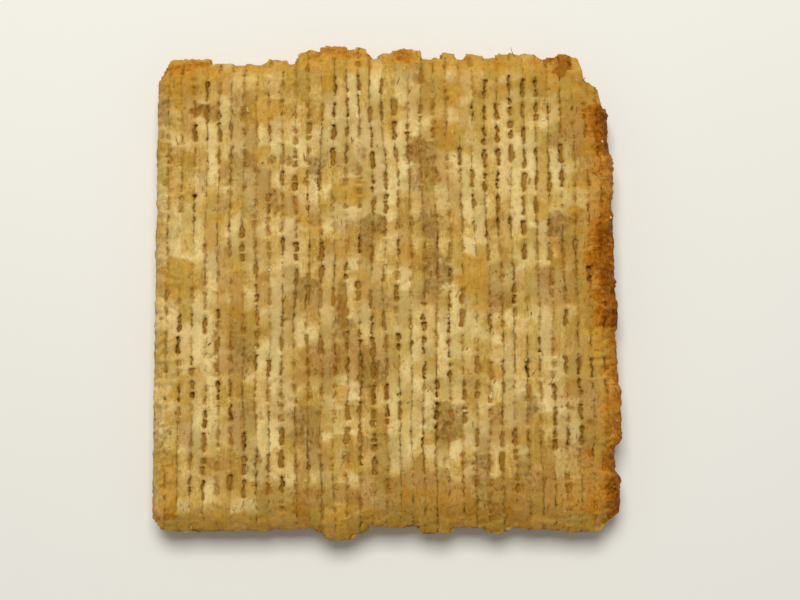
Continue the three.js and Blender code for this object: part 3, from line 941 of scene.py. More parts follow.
EDGE_CRUMB_SEED = 5
SURFACE_CRUMB_SEED = 6
SLIVER_SEED = 7
SALT_SEED = 8
HAIR_SEED = 9
HAIR_STEPS = 7
HAIR_RADIUS = 0.045
HAIR_TAPER = 0.9
HAIR_SIDES = 5
LUMP_NOISE_SCALE = 1.3
LUMP_NOISE_APART = 3.7
LUMP_NOISE_GAIN = 1.4
CLUMP_SIZE = 1.3
CLUMP_TONE = 0.9
CLUMP_TOAST = 0.5


def surface_trees():
    """What lies on top is set down on these trees of the upper net's faces."""
    depsgraph = bpy.context.evaluated_depsgraph_get()
    pieces = [piece for piece in bpy.data.objects if piece.name.startswith("upper_net")]
    return [BVHTree.FromObject(piece, depsgraph) for piece in pieces]


def height_at(trees, x, y):
    """Height of the upper face at a place, or None over a slot or past the edge."""
    start = Vector((x * MM, y * MM, 2 * THICKNESS * MM))
    hits = [tree.ray_cast(start, Vector((0.0, 0.0, -1.0)))[0] for tree in trees]
    heights = [hit.z / MM for hit in hits if hit is not None]
    return max(heights, default=None)


def add_lump(bm, place, sizes, turn, subdivisions, seed, rough):
    """Adds one uneven lump, with its half sizes along its own axes. All in millimetres."""
    made = bmesh.ops.create_icosphere(bm, subdivisions=subdivisions, radius=1.0)["verts"]
    turned = turn.to_matrix()
    shift = Vector((seed * LUMP_NOISE_APART, 0.0, 0.0))
    for vertex in made:
        wobble = 1.0 + rough * LUMP_NOISE_GAIN * noise.noise(vertex.co * LUMP_NOISE_SCALE + shift)
        own = Vector([part * size for part, size in zip(vertex.co, sizes)]) * wobble
        vertex.co = (Vector(place) + turned @ own) * MM


def hair_path(hair, trees):
    """The points of a hair that lies on the crust, and runs on level past its edge."""
    x, y = hair.x, hair.y
    z = height_at(trees, x, y)
    path = []
    for step in range(HAIR_STEPS):
        z = height_at(trees, x, y) or z
        path.append(Vector((x, y, z + HAIR_RADIUS)))
        heading = math.radians(hair.heading + hair.turning * step / HAIR_STEPS)
        x += math.cos(heading) * hair.length / HAIR_STEPS
        y += math.sin(heading) * hair.length / HAIR_STEPS
    return path


def add_hair(bm, path):
    """Adds a thin tube that tapers along a path. All in millimetres."""
    turn = (path[1] - path[0]).to_track_quat("Z", "Y").to_matrix().to_4x4()
    place = Matrix.Translation(path[0] * MM) @ turn
    ring = bmesh.ops.create_circle(
        bm, cap_ends=True, segments=HAIR_SIDES, radius=HAIR_RADIUS * MM, matrix=place
    )["verts"]
    face = ring[0].link_faces[0]
    for before, after in zip(path, path[1:]):
        made = bmesh.ops.extrude_face_region(bm, geom=[face])["geom"]
        face = next(part for part in made if isinstance(part, bmesh.types.BMFace))
        bmesh.ops.translate(bm, verts=face.verts[:], vec=(after - before) * MM)
        bmesh.ops.scale(
            bm, verts=face.verts[:], vec=(HAIR_TAPER,) * 3, space=Matrix.Translation(-after * MM)
        )


def plain_attributes(bm, seed, gold=0.0, toast=0.0, tone=0.0):
    """What the crust material reads on small pieces that lie on the crust or stick out of it."""
    flat = np.array([vertex.co for vertex in bm.verts]) / MM
    crust = Crust(flat[:, 0], flat[:, 1], UPPER_SEED, True)
    clumps = noise_at(flat, CLUMP_SIZE, seed)
    return {
        "tone": np.clip(0.5 + tone + CLUMP_TONE * clumps, 0.0, 1.0),
        "gold": np.clip(crust.gold + gold, 0.0, 1.0),
        "shade": crust.shade,
        "toast": np.clip(crust.toast + toast + CLUMP_TOAST * clumps, 0.0, 1.0),
    }


def random_turn(rng):
    return Euler(tuple(rng.uniform(-math.pi, math.pi, 3)))


# Materials

CRUST = "baked_wheat_crust"
BRAN = "bran"


class Value:
    """A socket of a shader. Arithmetic on it adds Math nodes."""

    def __init__(self, shader, socket):
        self.shader = shader
        self.socket = socket

    def _math(self, operation, first, second):
        node = self.shader.node("Math", {"operation": operation}, {0: first, 1: second})
        return self.shader.value(node, 0)

    def __add__(self, other):
        return self._math("ADD", self, other)

    def __radd__(self, other):
        return self._math("ADD", other, self)

    def __sub__(self, other):
        return self._math("SUBTRACT", self, other)

    def __rsub__(self, other):
        return self._math("SUBTRACT", other, self)

    def __mul__(self, other):
        return self._math("MULTIPLY", self, other)

    def __rmul__(self, other):
        return self._math("MULTIPLY", other, self)


class Shader:
    """A material's nodes."""

    def __init__(self, name):
        self.material = bpy.data.materials.new(name)
        self.material.use_nodes = True
        self.tree = self.material.node_tree
        self.tree.nodes.clear()

    def node(self, kind, settings=None, inputs=None):
        """Adds a node, makes its settings, and fills its sockets with values, colours or links."""
        made = self.tree.nodes.new("ShaderNode" + kind)
        for name, setting in (settings or {}).items():
            if name == "stops":
                set_stops(made.color_ramp, setting)
            else:
                setattr(made, name, setting)
        for key, given in (inputs or {}).items():
            if isinstance(given, Value):
                self.tree.links.new(given.socket, made.inputs[key])
            else:
                made.inputs[key].default_value = (*given, 1.0) if isinstance(given, Color) else given
        return made

    def value(self, node, output):
        return Value(self, node.outputs[output])

    def attribute(self, name):
        return self.value(self.node("Attribute", {"attribute_name": name}), "Fac")

    def places(self, stretch=(1.0, 1.0, 1.0)):
        """Object coordinates in millimetres, scaled along each axis."""
        place = self.value(self.node("TexCoord"), "Object")
        scale = tuple(axis / MM for axis in stretch)
        return self.value(self.node("VectorMath", {"operation": "MULTIPLY"}, {0: place, 1: scale}), 0)

    def noise(self, places, scale, detail, roughness):
        inputs = {"Vector": places, "Scale": scale, "Detail": detail, "Roughness": roughness}
        return self.value(self.node("TexNoise", None, inputs), "Fac")

    def ramp(self, factor, *stops):
        made = self.node("ValToRGB", {"stops": stops}, {"Fac": factor})
        return self.value(made, "Color")

    def rise(self, factor, low, high):
        """A smooth rise from 0 at low to 1 at high."""
        inputs = {"Value": factor, "From Min": low, "From Max": high}
        settings = {"interpolation_type": "SMOOTHSTEP"}
        return self.value(self.node("MapRange", settings, inputs), "Result")

    def mix(self, factor, first, second):
        settings = {"data_type": "RGBA", "clamp_factor": True}
        return self.value(self.node("Mix", settings, {0: factor, 6: first, 7: second}), 2)

    def finish(self, inputs, height=None, relief=0.0):
        """Ends the tree in a Principled shader, with a bump of that relief in millimetres."""
        if height is not None:
            bump = self.node("Bump", None, {"Height": height, "Distance": relief * MM, "Strength": 1.0})
            inputs["Normal"] = self.value(bump, "Normal")
        principled = self.node("BsdfPrincipled", None, inputs)
        self.node("OutputMaterial", None, {"Surface": self.value(principled, "BSDF")})
        return self.material


def set_stops(ramp, stops):
    while len(ramp.elements) < len(stops):
        ramp.elements.new(0.5)
    for element, (position, colour) in zip(ramp.elements, stops):
        element.position = position
        element.color = (*colour, 1.0)


def linear(red, green, blue):
    """A colour given in screen values from 0 to 255, as the shader takes it."""
    return Color(
        part / 12.92 if part <= 0.04045 else ((part + 0.055) / 1.055) ** 2.4
        for part in (red / 255, green / 255, blue / 255)
    )


class CrustShader(Shader):
    """The crust's nodes. Each step takes the colour so far, and gives the next one.

    The patterns are broad blotches, mottling, streaks along the strands and fine grain. Each one also
    has a form that varies about 0, such as blotched for blotch.
    """

    def __init__(self, name, paint):
        super().__init__(name)
        self.paint = paint
        even = self.places()
        along = self.places((3.2, 0.7, 2.0))
        self.blotch = self.noise(even, 0.55, 4.0, 0.6)
        self.mottle = self.noise(even, 2.6, 5.0, 0.65)
        self.streak = self.noise(along, 1.2, 4.0, 0.6)
        self.grain = self.noise(even, 9.0, 3.0, 0.6)
        patterns = (self.blotch, self.mottle, self.streak, self.grain)
        self.blotched, self.mottled, self.streaked, self.grained = (pattern - 0.5 for pattern in patterns)
        self.patchy = self.rise(self.streak + self.mottle, 0.75, 1.3)
        self.shade = self.attribute("shade")
        gold = self.attribute("gold") + self.blotched * 0.8 + self.streaked * 1.1
        self.gold = self.rise(gold, 0.15, 1.0)
        # The groove mask: partly the brown between strands, partly painted shade in the gaps and on the
        # flanks.
        groove = self.attribute("groove") + self.mottled * 1.3 + self.grained * 0.9
        self.groove = self.rise(groove, 0.12, 0.8)

    def strands(self):
        paint = self.paint
        uneven = self.mottled * 1.4 + self.streaked * 1.4 + self.grained * 1.7
        tone = self.attribute("tone") + uneven + self.attribute("pale") * 0.55 + self.shade * 0.44
        return self.ramp(
            tone, (0.0, paint.ochre), (0.35, paint.straw), (0.75, paint.pale_straw), (1.0, paint.cream)
        )

    def dull(self, colour):
        dull = self.rise(self.attribute("dull") + self.streaked * 0.7, 0.0, 0.4)
        return self.mix(dull * 0.6 - self.shade * 0.15, colour, self.paint.dull)

    def gild(self, colour):
        golden = self.mix(self.patchy, self.paint.amber, self.paint.gold)
        return self.mix(self.gold * 0.85, colour, golden)

    def add_bran(self, colour):
        bran = self.attribute("bran") + self.mottled * 1.6 + self.blotched * 0.6
        bran = self.rise(bran, 0.3, 1.0)
        colour = self.mix(bran * 0.7, colour, self.paint.bran)
        fleck = self.noise(self.places((1.7, 0.8, 1.0)), 1.9, 3.0, 0.6)
        colour = self.mix(bran * self.rise(fleck, 0.5, 0.68) * 0.75, colour, self.paint.husk)
        pale = self.rise(fleck * -1.0, -0.45, -0.32)
        return self.mix(bran * pale * 0.4, colour, self.paint.pale_straw)

    def brown(self, colour):
        return self.mix(self.shade * self.patchy * -0.66, colour, self.paint.brown)

    def tint(self, colour):
        hue = self.attribute("hue") + self.mottled * 0.6
        colour = self.mix(self.rise(hue, 0.0, 0.4) * 0.4, colour, self.paint.olive)
        return self.mix(self.rise(hue * -1.0, 0.05, 0.4) * 0.3, colour, self.paint.rosy)

    # Partly real brown between strands, partly painted shade in the gaps and on the strands' flanks.
    def brown_and_shade_grooves(self, colour):
        return self.mix(self.groove * 0.66, colour, self.paint.groove)

    def toast(self, colour):
        paint = self.paint
        toast = self.attribute("toast") + self.mottled * 1.1 + self.blotched * 0.5 + self.grained * 0.5
        toasted = self.ramp(
            toast, (0.1, paint.gold), (0.5, paint.toast), (0.8, paint.brown), (1.0, paint.scorch)
        )
        return self.mix(self.rise(toast, 0.1, 0.7), colour, toasted)

    def speckle(self, colour):
        stain = self.noise(self.places((1.3, 0.8, 1.0)), 1.3, 4.0, 0.65)
        colour = self.mix(self.rise(stain, 0.53, 0.66) * 0.4, colour, self.paint.ochre)
        speck = self.noise(self.places((1.5, 0.7, 1.0)), 2.8, 3.0, 0.65)
        specks = self.rise(speck + self.groove * 0.12 - self.shade * 0.04, 0.6, 0.72)
        return self.mix(specks * 0.75, colour, self.paint.brown)

    # Painted shade: slot floors, torn hollows and the inner nets are darkened towards the slot and groove
    # browns, by how far they lie below the face.
    def paint_slot_shade(self, colour):
        deep = self.attribute("deep") * (0.6 + self.rise(self.mottle + self.grain, 0.8, 1.15) * 0.35)
        browner = self.rise(self.blotch + self.mottle, 0.8, 1.2)
        return self.mix(deep, colour, self.mix(browner, self.paint.slot, self.paint.groove))


def crust_material():
    """Baked wheat: straw and golden strands, grey-brown bran and toasted edges, with grooves partly browned
    by painted shade, and slots and inner nets darkened by painted shade.
    """
    shader = CrustShader(CRUST, bpy.context.scene.cracker_crust)
    colour = shader.strands()
    for step in (
        shader.dull,
        shader.gild,
        shader.add_bran,
        shader.brown,
        shader.tint,
        shader.brown_and_shade_grooves,
        shader.toast,
        shader.speckle,
        shader.paint_slot_shade,
    ):
        colour = step(colour)
    height = shader.mottle * 0.5 + shader.streak * 0.4 + shader.grain * 0.45
    inputs = {
        "Base Color": colour,
        "Roughness": 0.62 - shader.gold * 0.14 + shader.mottled * 0.2,
        "Specular IOR Level": 0.06,
        "Subsurface Weight": 0.35,
        "Subsurface Radius": (0.9, 0.5, 0.2),
        "Subsurface Scale": 0.5 * MM,
    }
    return shader.finish(inputs, height, relief=0.19)


def bran_material():
    """Thin flakes of bran, from tan to nearly black."""
    shader = Shader(BRAN)
    shade = shader.noise(shader.places(), 0.7, 3.0, 0.6)
    grain = shader.noise(shader.places(), 8.0, 2.0, 0.5)
    colour = shader.ramp(
        shade, (0.3, linear(122, 80, 20)), (0.5, linear(160, 114, 42)), (0.7, linear(206, 168, 92))
    )
    return shader.finish({"Base Color": colour, "Roughness": 0.6}, grain, relief=0.03)


def salt_material():
    """Grains of salt, stained a little by the crust."""
    shader = Shader("salt")
    stain = shader.noise(shader.places(), 1.5, 2.0, 0.5)
    colour = shader.mix(shader.rise(stain, 0.45, 0.7), linear(240, 228, 196), linear(230, 204, 146))
    inputs = {
        "Base Color": colour,
        "Roughness": 0.25,
        "IOR": 1.54,
        "Subsurface Weight": 0.5,
        "Subsurface Radius": (1.0, 0.9, 0.7),
        "Subsurface Scale": 0.4 * MM,
    }
    return shader.finish(inputs, shader.noise(shader.places(), 6.0, 2.0, 0.5), relief=0.02)


# Settings


def count_property(name, description, count, least=0):
    return bpy.props.IntProperty(name=name, description=description, default=count, min=least)


def length_property(name, description, length):
    """A length, given in millimetres."""
    return bpy.props.FloatProperty(
        name=name, description=description, default=length * MM, unit="LENGTH", precision=5
    )


def colour_property(name, description, red, green, blue):
    return bpy.props.FloatVectorProperty(
        name=name,
        description=description,
        subtype="COLOR",
        size=3,
        min=0.0,
        max=1.0,
        default=tuple(linear(red, green, blue)),
    )


class CrackerWeave(bpy.types.PropertyGroup):
    """Sizes of the weave"""

    strand_count: count_property("Strands", "Strands side by side in a net", 36, 4)
    strand_pitch: length_property("Strand pitch", "From the middle of one strand to the next", 1.27)
    slot_width: length_property("Slot width", "Width of an open slot between two strands", 0.2)
    web_count: count_property("Webs", "Webs along each gap between two strands", 20, 2)
    web_pitch: length_property("Web pitch", "From one web to the next, along a gap", 2.33)
    web_middle: length_property("Middle of the webs", "Y of the middle of the rows of webs", -0.6)
    open_share: bpy.props.FloatProperty(
        name="Open share",
        description="Share of the slots that stay open, away from the most open patches",
        default=0.2,
        subtype="FACTOR",
        min=0.0,
        max=1.0,
    )
    inner_nets: count_property("Inner nets", "Nets between the upper and the lower one", 5, 1)


class CrackerCrust(bpy.types.PropertyGroup):
    """Colours of the crust"""

    cream: colour_property("Cream", "The palest strands", 241, 216, 149)
    pale_straw: colour_property("Pale straw", "Pale strands", 229, 197, 120)
    straw: colour_property("Straw", "Most of the strands", 213, 177, 92)
    ochre: colour_property("Ochre", "The darkest strands", 184, 142, 60)
    dull: colour_property("Dull patches", "Greyish, damp-looking patches", 197, 166, 106)
    gold: colour_property("Gold", "Fused golden patches", 216, 171, 62)
    amber: colour_property("Amber", "The deepest golden patches", 190, 135, 32)
    olive: colour_property("Olive", "Strands with a greenish cast", 186, 160, 80)
    rosy: colour_property("Rosy", "Strands with a pinkish cast", 208, 164, 98)
    bran: colour_property("Bran", "Patches of bran", 150, 113, 54)
    husk: colour_property("Husk", "Dark flecks in the patches of bran", 108, 70, 14)
    # The groove colour is partly the brown between strands and partly painted shade; it is also one of the
    # slot colours.
    groove: colour_property("Grooves", "Shallow grooves between strands", 164, 116, 30)
    toast: colour_property("Toast", "Orange-brown edges", 192, 120, 22)
    brown: colour_property("Brown", "Brown edges and specks", 150, 86, 6)
    scorch: colour_property("Scorch", "The darkest spots", 100, 46, 3)
    # Painted shade: this colour stands in for the shade inside the slots and within the stack.
    slot: colour_property("Slots", "Inside the slots", 148, 98, 10)


class CrackerPieces(bpy.types.PropertyGroup):
    """Small pieces on the crust"""

    edge_crumbs: count_property("Edge crumbs", "Lumps of dough along the rim", 260)
    surface_crumbs: count_property("Surface crumbs", "Small crumbs on the upper face", 130)
    slivers: count_property("Bran slivers", "Thin flakes of bran on the upper face", 120)
    hairs: count_property("Hairs", "Fine hairs of bran", 26)
    salt_size: length_property("Salt size", "Width of a grain of salt", 0.26)


class CrackerStudio(bpy.types.PropertyGroup):
    """Camera and light"""

    distance: length_property("Camera distance", "From the cracker to the camera", 170)
    tilt: bpy.props.FloatProperty(
        name="Camera tilt",
        description="How far the camera leans to the near side",
        default=math.radians(4.0),
        subtype="ANGLE",
    )
    view_width: length_property("View width", "What the camera sees at the cracker's upper face", 79)
    key_power: bpy.props.FloatProperty(
        name="Key light", description="Power of the soft light from the far side", default=1.32, unit="POWER"
    )
    fill: bpy.props.FloatProperty(
        name="Fill light", description="Strength of the light from all round", default=0.27
    )


# Steps


def stacked_nets(weave):
    """The nets from the top down. The inner ones have a strand more or less, so slots rarely line up."""
    top = Net(
        "upper_net", THICKNESS - UPPER_DEPTH, OUTER_THICKNESS, weave.strand_count, weave.web_count,
        lines=6, rows_per_web=14, seed=UPPER_SEED, facing=1,
    )
    bottom = Net(
        "lower_net", LOWER_HEIGHT, OUTER_THICKNESS, weave.strand_count, weave.web_count,
        lines=5, rows_per_web=6, seed=LOWER_SEED, facing=-1,
    )
    nets = [top]
    for number in range(weave.inner_nets):
        more = 1 if number % 2 else -1
        share = (number + INNER_SHIFT) / (weave.inner_nets + INNER_SHIFT)
        height = blend(top.height, bottom.height, share)
        inner = Net(
            f"inner_net_{number + 1}", height, INNER_THICKNESS,
            weave.strand_count + more, weave.web_count - more,
            lines=4, rows_per_web=5, seed=INNER_SEED + INNER_SEED_STEP * number, facing=0,
        )
        nets.append(inner)
    return nets + [bottom]


class CRACKER_OT_nets(bpy.types.Operator):
    """Build the stack of woven nets"""

    bl_idname = "cracker.nets"
    bl_label = "Woven nets"

    def execute(self, context):
        weave = context.scene.cracker_weave
        material = crust_material()
        for net in stacked_nets(weave):
            grid = WeaveGrid(net, weave)
            for number, (first, last) in enumerate(grid.parts(), 1):
                bm = cut_grid(grid, first, last)
                attributes = shape_net(bm, grid)
                finish_piece(f"{net.name}_part_{number}", bm, material, attributes)
        return {"FINISHED"}


FAR_CRUMBS = (0.42, -22.0, 21.5)
NEAR_CRUMBS = (0.7, -22.0, 21.0)
RIGHT_CRUMBS = 0.92
SIDE_CRUMBS = (-21.0, 19.0)
EDGE_CRUMB_SIZES = (0.2, 0.46)
EDGE_CRUMB_BACK = (0.1, 0.5)
EDGE_CRUMB_LEVELS = (-0.8, 0.55)
EDGE_CRUMB_SHAPES = (0.75, 1.3)


def edge_place(rng):
    """A random place on the rim, with the way out of it: most at the ends and the right side."""
    draw = rng.random()
    far_share, *far_range = FAR_CRUMBS
    near_share, *near_range = NEAR_CRUMBS
    if draw < far_share:
        x = np.array([rng.uniform(*far_range)])
        return x, far_end(x), (0.0, 1.0)
    if draw < near_share:
        x = np.array([rng.uniform(*near_range)])
        return x, near_end(x), (0.0, -1.0)
    y = np.array([rng.uniform(*SIDE_CRUMBS)])
    if draw < RIGHT_CRUMBS:
        return right_side(y), y, (1.0, 0.0)
    return left_side(y), y, (-1.0, 0.0)


class CRACKER_OT_edge_crumbs(bpy.types.Operator):
    """Add lumps of dough along the rim"""

    bl_idname = "cracker.edge_crumbs"
    bl_label = "Edge crumbs"

    def execute(self, context):
        rng = np.random.default_rng(EDGE_CRUMB_SEED)
        trees = surface_trees()
        bm = bmesh.new()
        for number in range(context.scene.cracker_pieces.edge_crumbs):
            x, y, outward = edge_place(rng)
            size = rng.uniform(*EDGE_CRUMB_SIZES)
            back = rng.uniform(*EDGE_CRUMB_BACK) + size / 2
            x, y = x - outward[0] * back, y - outward[1] * back
            half_thick = float(squeeze(x, y)[0]) * THICKNESS / 2
            place = (float(x[0]), float(y[0]), MIDDLE + rng.uniform(*EDGE_CRUMB_LEVELS) * half_thick)
            sizes = size * rng.uniform(*EDGE_CRUMB_SHAPES, 3)
            if height_at(trees, place[0], place[1]) is not None:
                add_lump(bm, place, sizes, random_turn(rng), 2, number, rough=0.4)
        attributes = plain_attributes(bm, 3, gold=0.2)
        finish_piece("edge_crumbs", bm, bpy.data.materials[CRUST], attributes)
        return {"FINISHED"}


SURFACE_X = (-22.4, 22.4)
SURFACE_Y = (-23.0, 23.6)
SURFACE_CRUMB_LEAST = 0.07
SURFACE_CRUMB_RANGE = 0.16
SURFACE_CRUMB_LENGTHS = (0.8, 2.2)
SURFACE_CRUMB_FLATNESS = 0.4
SURFACE_CRUMB_SUNKEN = 0.1


class CRACKER_OT_surface_crumbs(bpy.types.Operator):
    """Scatter small crumbs over the upper face"""

    bl_idname = "cracker.surface_crumbs"
    bl_label = "Surface crumbs"

    def execute(self, context):
        rng = np.random.default_rng(SURFACE_CRUMB_SEED)
        trees = surface_trees()
        bm = bmesh.new()
        for number in range(context.scene.cracker_pieces.surface_crumbs):
            x, y = rng.uniform(*SURFACE_X), rng.uniform(*SURFACE_Y)
            z = height_at(trees, x, y)
            if z is None or z < MIDDLE:
                continue
            size = SURFACE_CRUMB_LEAST + SURFACE_CRUMB_RANGE * rng.random() ** 2
            length = size * rng.uniform(*SURFACE_CRUMB_LENGTHS)
            turn = Euler((0.0, 0.0, rng.normal(0.0, 0.5)))
            place = (x, y, z - SURFACE_CRUMB_SUNKEN * size)
            add_lump(bm, place, (size, length, SURFACE_CRUMB_FLATNESS * size), turn, 2, number, rough=0.7)
        attributes = plain_attributes(bm, 4, gold=0.1)
        finish_piece("surface_crumbs", bm, bpy.data.materials[CRUST], attributes)
        return {"FINISHED"}


SLIVER_X = (-22.0, 22.4)
SLIVER_Y = (-23.0, 23.4)
SLIVER_CHANCE = 0.3
SLIVER_LEAST = 0.12
SLIVER_RANGE = 0.4
SLIVER_WIDTHS = (0.05, 0.11)
SLIVER_THICKNESS = 0.04
SLIVER_ROLL = 0.3
SLIVER_PITCH = 0.15
SLIVER_YAW = 0.35
SLIVER_LIFT = 0.01


class CRACKER_OT_slivers(bpy.types.Operator):
    """Scatter flakes of bran over the upper face"""

    bl_idname = "cracker.slivers"
    bl_label = "Bran slivers"

    def execute(self, context):
        rng = np.random.default_rng(SLIVER_SEED)
        trees = surface_trees()
        bm = bmesh.new()
        wanted = context.scene.cracker_pieces.slivers
        placed = 0
        while placed < wanted:
            x, y = rng.uniform(*SLIVER_X), rng.uniform(*SLIVER_Y)
            bran = spots_at(BRAN_SPOTS, np.array([x]), np.array([y]))[0]
            if rng.random() > SLIVER_CHANCE + bran:
                continue
            z = height_at(trees, x, y)
            if z is None or z < MIDDLE:
                continue
            placed += 1
            length = SLIVER_LEAST + SLIVER_RANGE * rng.random() ** 2.5
            roll, pitch = rng.uniform(-SLIVER_ROLL, SLIVER_ROLL), rng.uniform(-SLIVER_PITCH, SLIVER_PITCH)
            turn = Euler((roll, pitch, math.pi / 2 + rng.normal(0.0, SLIVER_YAW)))
            sizes = (length, rng.uniform(*SLIVER_WIDTHS), SLIVER_THICKNESS)
            add_lump(bm, (x, y, z + SLIVER_LIFT), sizes, turn, 1, placed, rough=0.5)
        finish_piece("bran_slivers", bm, bran_material(), None, False)
        return {"FINISHED"}


SALT_SHARES = (0.6, 1.0)
SALT_LIFT = 0.03
SALT_BEVEL = 0.14
LOOSE_CRUMB = (-20.0, -23.85, 1.9)
LOOSE_CRUMB_SIZES = (0.2, 0.28, 0.2)


class CRACKER_OT_salt(bpy.types.Operator):
    """Add the grains of salt, and a loose crumb at the near edge"""

    bl_idname = "cracker.salt"
    bl_label = "Salt"

    def execute(self, context):
        rng = np.random.default_rng(SALT_SEED)
        trees = surface_trees()
        size = context.scene.cracker_pieces.salt_size
        bm = bmesh.new()
        for x, y in SALT_PLACES:
            z = height_at(trees, x, y)
            if z is None:
                continue
            grain = bmesh.ops.create_cube(bm, size=size * rng.uniform(*SALT_SHARES))["verts"]
            bmesh.ops.rotate(bm, verts=grain, cent=(0.0, 0.0, 0.0), matrix=random_turn(rng).to_matrix())
            bmesh.ops.translate(bm, verts=grain, vec=Vector((x, y, z + SALT_LIFT)) * MM)
        bevel = {"affect": "EDGES", "segments": 1, "profile": 0.5, "material": -1}
        bmesh.ops.bevel(bm, geom=bm.edges[:], offset=size * SALT_BEVEL, **bevel)
        add_lump(bm, LOOSE_CRUMB, LOOSE_CRUMB_SIZES, random_turn(rng), 2, 1, rough=0.5)
        finish_piece("salt_grains", bm, salt_material(), None, False)
        return {"FINISHED"}


HAIR_X = (-21.0, 21.5)
HAIR_Y = (-22.0, 22.0)
HAIR_LENGTHS = (0.5, 1.3)
HAIR_HEADING_PLAY = 25.0
HAIR_TURNING = 30.0
PALE_HAIR_CHANCE = 0.7


def random_hairs(rng, count):
    """Short hairs at random places of the upper face, most of them pale and along the strands."""
    hairs = []
    for _ in range(count):
        x, y = rng.uniform(*HAIR_X), rng.uniform(*HAIR_Y)
        heading = 90.0 + rng.normal(0.0, HAIR_HEADING_PLAY)
        length, turning = rng.uniform(*HAIR_LENGTHS), rng.normal(0.0, HAIR_TURNING)
        hairs.append(Hair(x, y, heading, length, turning, rng.random() < PALE_HAIR_CHANCE))
    return hairs


class CRACKER_OT_hairs(bpy.types.Operator):
    """Add fine hairs of bran and pale fibres"""

    bl_idname = "cracker.hairs"
    bl_label = "Hairs"

    def execute(self, context):
        rng = np.random.default_rng(HAIR_SEED)
        trees = surface_trees()
        brown = bmesh.new()
        pale = bmesh.new()
        for hair in HAIRS + random_hairs(rng, context.scene.cracker_pieces.hairs):
            if height_at(trees, hair.x, hair.y) is not None:
                add_hair(pale if hair.is_pale else brown, hair_path(hair, trees))
        for bm in (brown, pale):
            bmesh.ops.recalc_face_normals(bm, faces=bm.faces[:])
        attributes = plain_attributes(pale, 5, toast=-1.0, tone=0.5)
        finish_piece("pale_fibres", pale, bpy.data.materials[CRUST], attributes)
        finish_piece("bran_hairs", brown, bpy.data.materials[BRAN])
        return {"FINISHED"}


VIEW_CENTRE = (1.32, -0.99)
FLOOR_HALF = 600 * MM
FLOOR_CLEARANCE = 0.02 * MM
SENSOR_WIDTH = 36.0
KEY_DIRECTION = (-0.04, 0.42, 0.9)
KEY_DISTANCE = 400 * MM
KEY_SIZE = 200 * MM
KEY_COLOUR = (1.0, 0.97, 0.92)
FILL_COLOUR = (1.0, 0.985, 0.96, 1.0)
NEAREST_VIEW = 10 * MM
FARTHEST_VIEW = 5000 * MM


class CRACKER_OT_studio(bpy.types.Operator):
    """Set up the floor, the lights and the camera"""

    bl_idname = "cracker.studio"
    bl_label = "Studio"

    def execute(self, context):
        studio = context.scene.cracker_studio
        build_floor()
        build_lights(studio)
        build_camera(studio)
        return {"FINISHED"}


def build_floor():
    bm = bmesh.new()
    bmesh.ops.create_grid(bm, x_segments=1, y_segments=1, size=FLOOR_HALF)
    bmesh.ops.translate(bm, verts=bm.verts[:], vec=(0.0, 0.0, -FLOOR_CLEARANCE))
    mesh = bpy.data.meshes.new("floor")
    bm.to_mesh(mesh)
    bm.free()
    shader = Shader("pale_floor")
    faint = shader.noise(shader.places(), 0.02, 3.0, 0.5)
    colour = shader.mix(faint, linear(236, 236, 230), linear(241, 241, 236))
    mesh.materials.append(shader.finish({"Base Color": colour, "Roughness": 0.7}))
    floor = bpy.data.objects.new("floor", mesh)
    bpy.context.scene.collection.objects.link(floor)


def build_lights(studio):
    direction = Vector(KEY_DIRECTION).normalized()
    data = bpy.data.lights.new("key", "AREA")
    data.shape = "SQUARE"
    data.size = KEY_SIZE
    data.energy = studio.key_power
    data.color = KEY_COLOUR
    key = bpy.data.objects.new("key", data)
    key.location = direction * KEY_DISTANCE
    key.rotation_euler = direction.to_track_quat("Z", "Y").to_euler()
    bpy.context.scene.collection.objects.link(key)
    world = bpy.data.worlds.new("studio")
    world.use_nodes = True
    background = world.node_tree.nodes["Background"]
    background.inputs["Color"].default_value = FILL_COLOUR
    background.inputs["Strength"].default_value = studio.fill
    bpy.context.scene.world = world
    bpy.context.scene.view_settings.view_transform = "Standard"


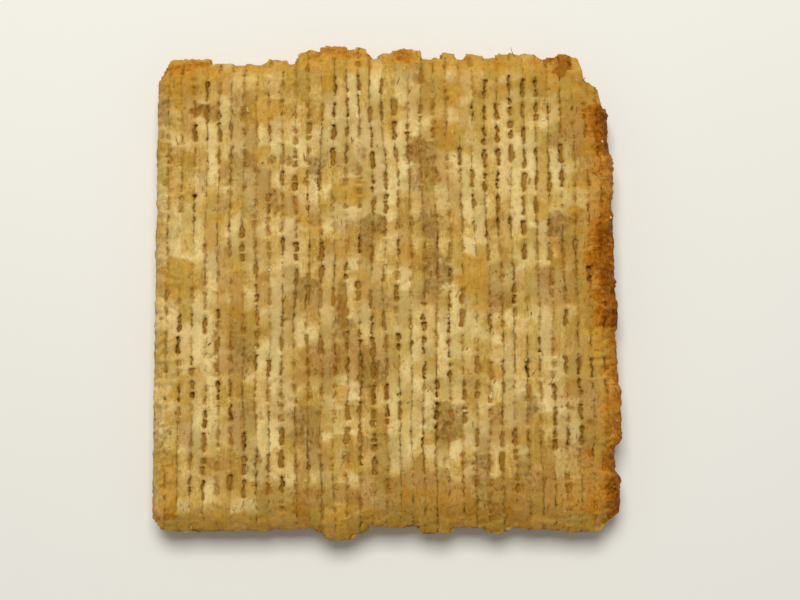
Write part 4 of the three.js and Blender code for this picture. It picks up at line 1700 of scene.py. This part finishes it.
def build_camera(studio):
    data = bpy.data.cameras.new("camera")
    data.sensor_width = SENSOR_WIDTH
    data.lens = SENSOR_WIDTH * studio.distance / studio.view_width
    data.clip_start = NEAREST_VIEW
    data.clip_end = FARTHEST_VIEW
    camera = bpy.data.objects.new("camera", data)
    back = Vector((0.0, -math.sin(studio.tilt), math.cos(studio.tilt)))
    target = Vector((*VIEW_CENTRE, THICKNESS)) * MM
    camera.location = target + back * studio.distance
    camera.rotation_euler = Euler((studio.tilt, 0.0, 0.0))
    bpy.context.scene.collection.objects.link(camera)
    bpy.context.scene.camera = camera


# Add-on


class CRACKER_PT_panel(bpy.types.Panel):
    """The cracker's steps"""

    bl_idname = "CRACKER_PT_panel"
    bl_label = "Woven wheat cracker"
    bl_space_type = "VIEW_3D"
    bl_region_type = "UI"
    bl_category = "Cracker"

    def draw(self, context):
        for operator in OPERATORS:
            self.layout.operator(operator.bl_idname)
        for name in GROUPS:
            group = getattr(context.scene, name)
            for setting in group.__annotations__:
                self.layout.prop(group, setting)


OPERATORS = (
    CRACKER_OT_nets,
    CRACKER_OT_edge_crumbs,
    CRACKER_OT_surface_crumbs,
    CRACKER_OT_slivers,
    CRACKER_OT_salt,
    CRACKER_OT_hairs,
    CRACKER_OT_studio,
)
GROUPS = {
    "cracker_weave": CrackerWeave,
    "cracker_crust": CrackerCrust,
    "cracker_pieces": CrackerPieces,
    "cracker_studio": CrackerStudio,
}


def register():
    for group in GROUPS.values():
        bpy.utils.register_class(group)
    for name, group in GROUPS.items():
        setattr(bpy.types.Scene, name, bpy.props.PointerProperty(type=group))
    for operator in OPERATORS:
        bpy.utils.register_class(operator)
    bpy.utils.register_class(CRACKER_PT_panel)


def unregister():
    bpy.utils.unregister_class(CRACKER_PT_panel)
    for operator in reversed(OPERATORS):
        bpy.utils.unregister_class(operator)
    for name in GROUPS:
        delattr(bpy.types.Scene, name)
    for group in reversed(GROUPS.values()):
        bpy.utils.unregister_class(group)


def main():
    register()
    bpy.ops.cracker.nets()
    bpy.ops.cracker.edge_crumbs()
    bpy.ops.cracker.surface_crumbs()
    bpy.ops.cracker.slivers()
    bpy.ops.cracker.salt()
    bpy.ops.cracker.hairs()
    bpy.ops.cracker.studio()


if __name__ == "__main__":
    main()
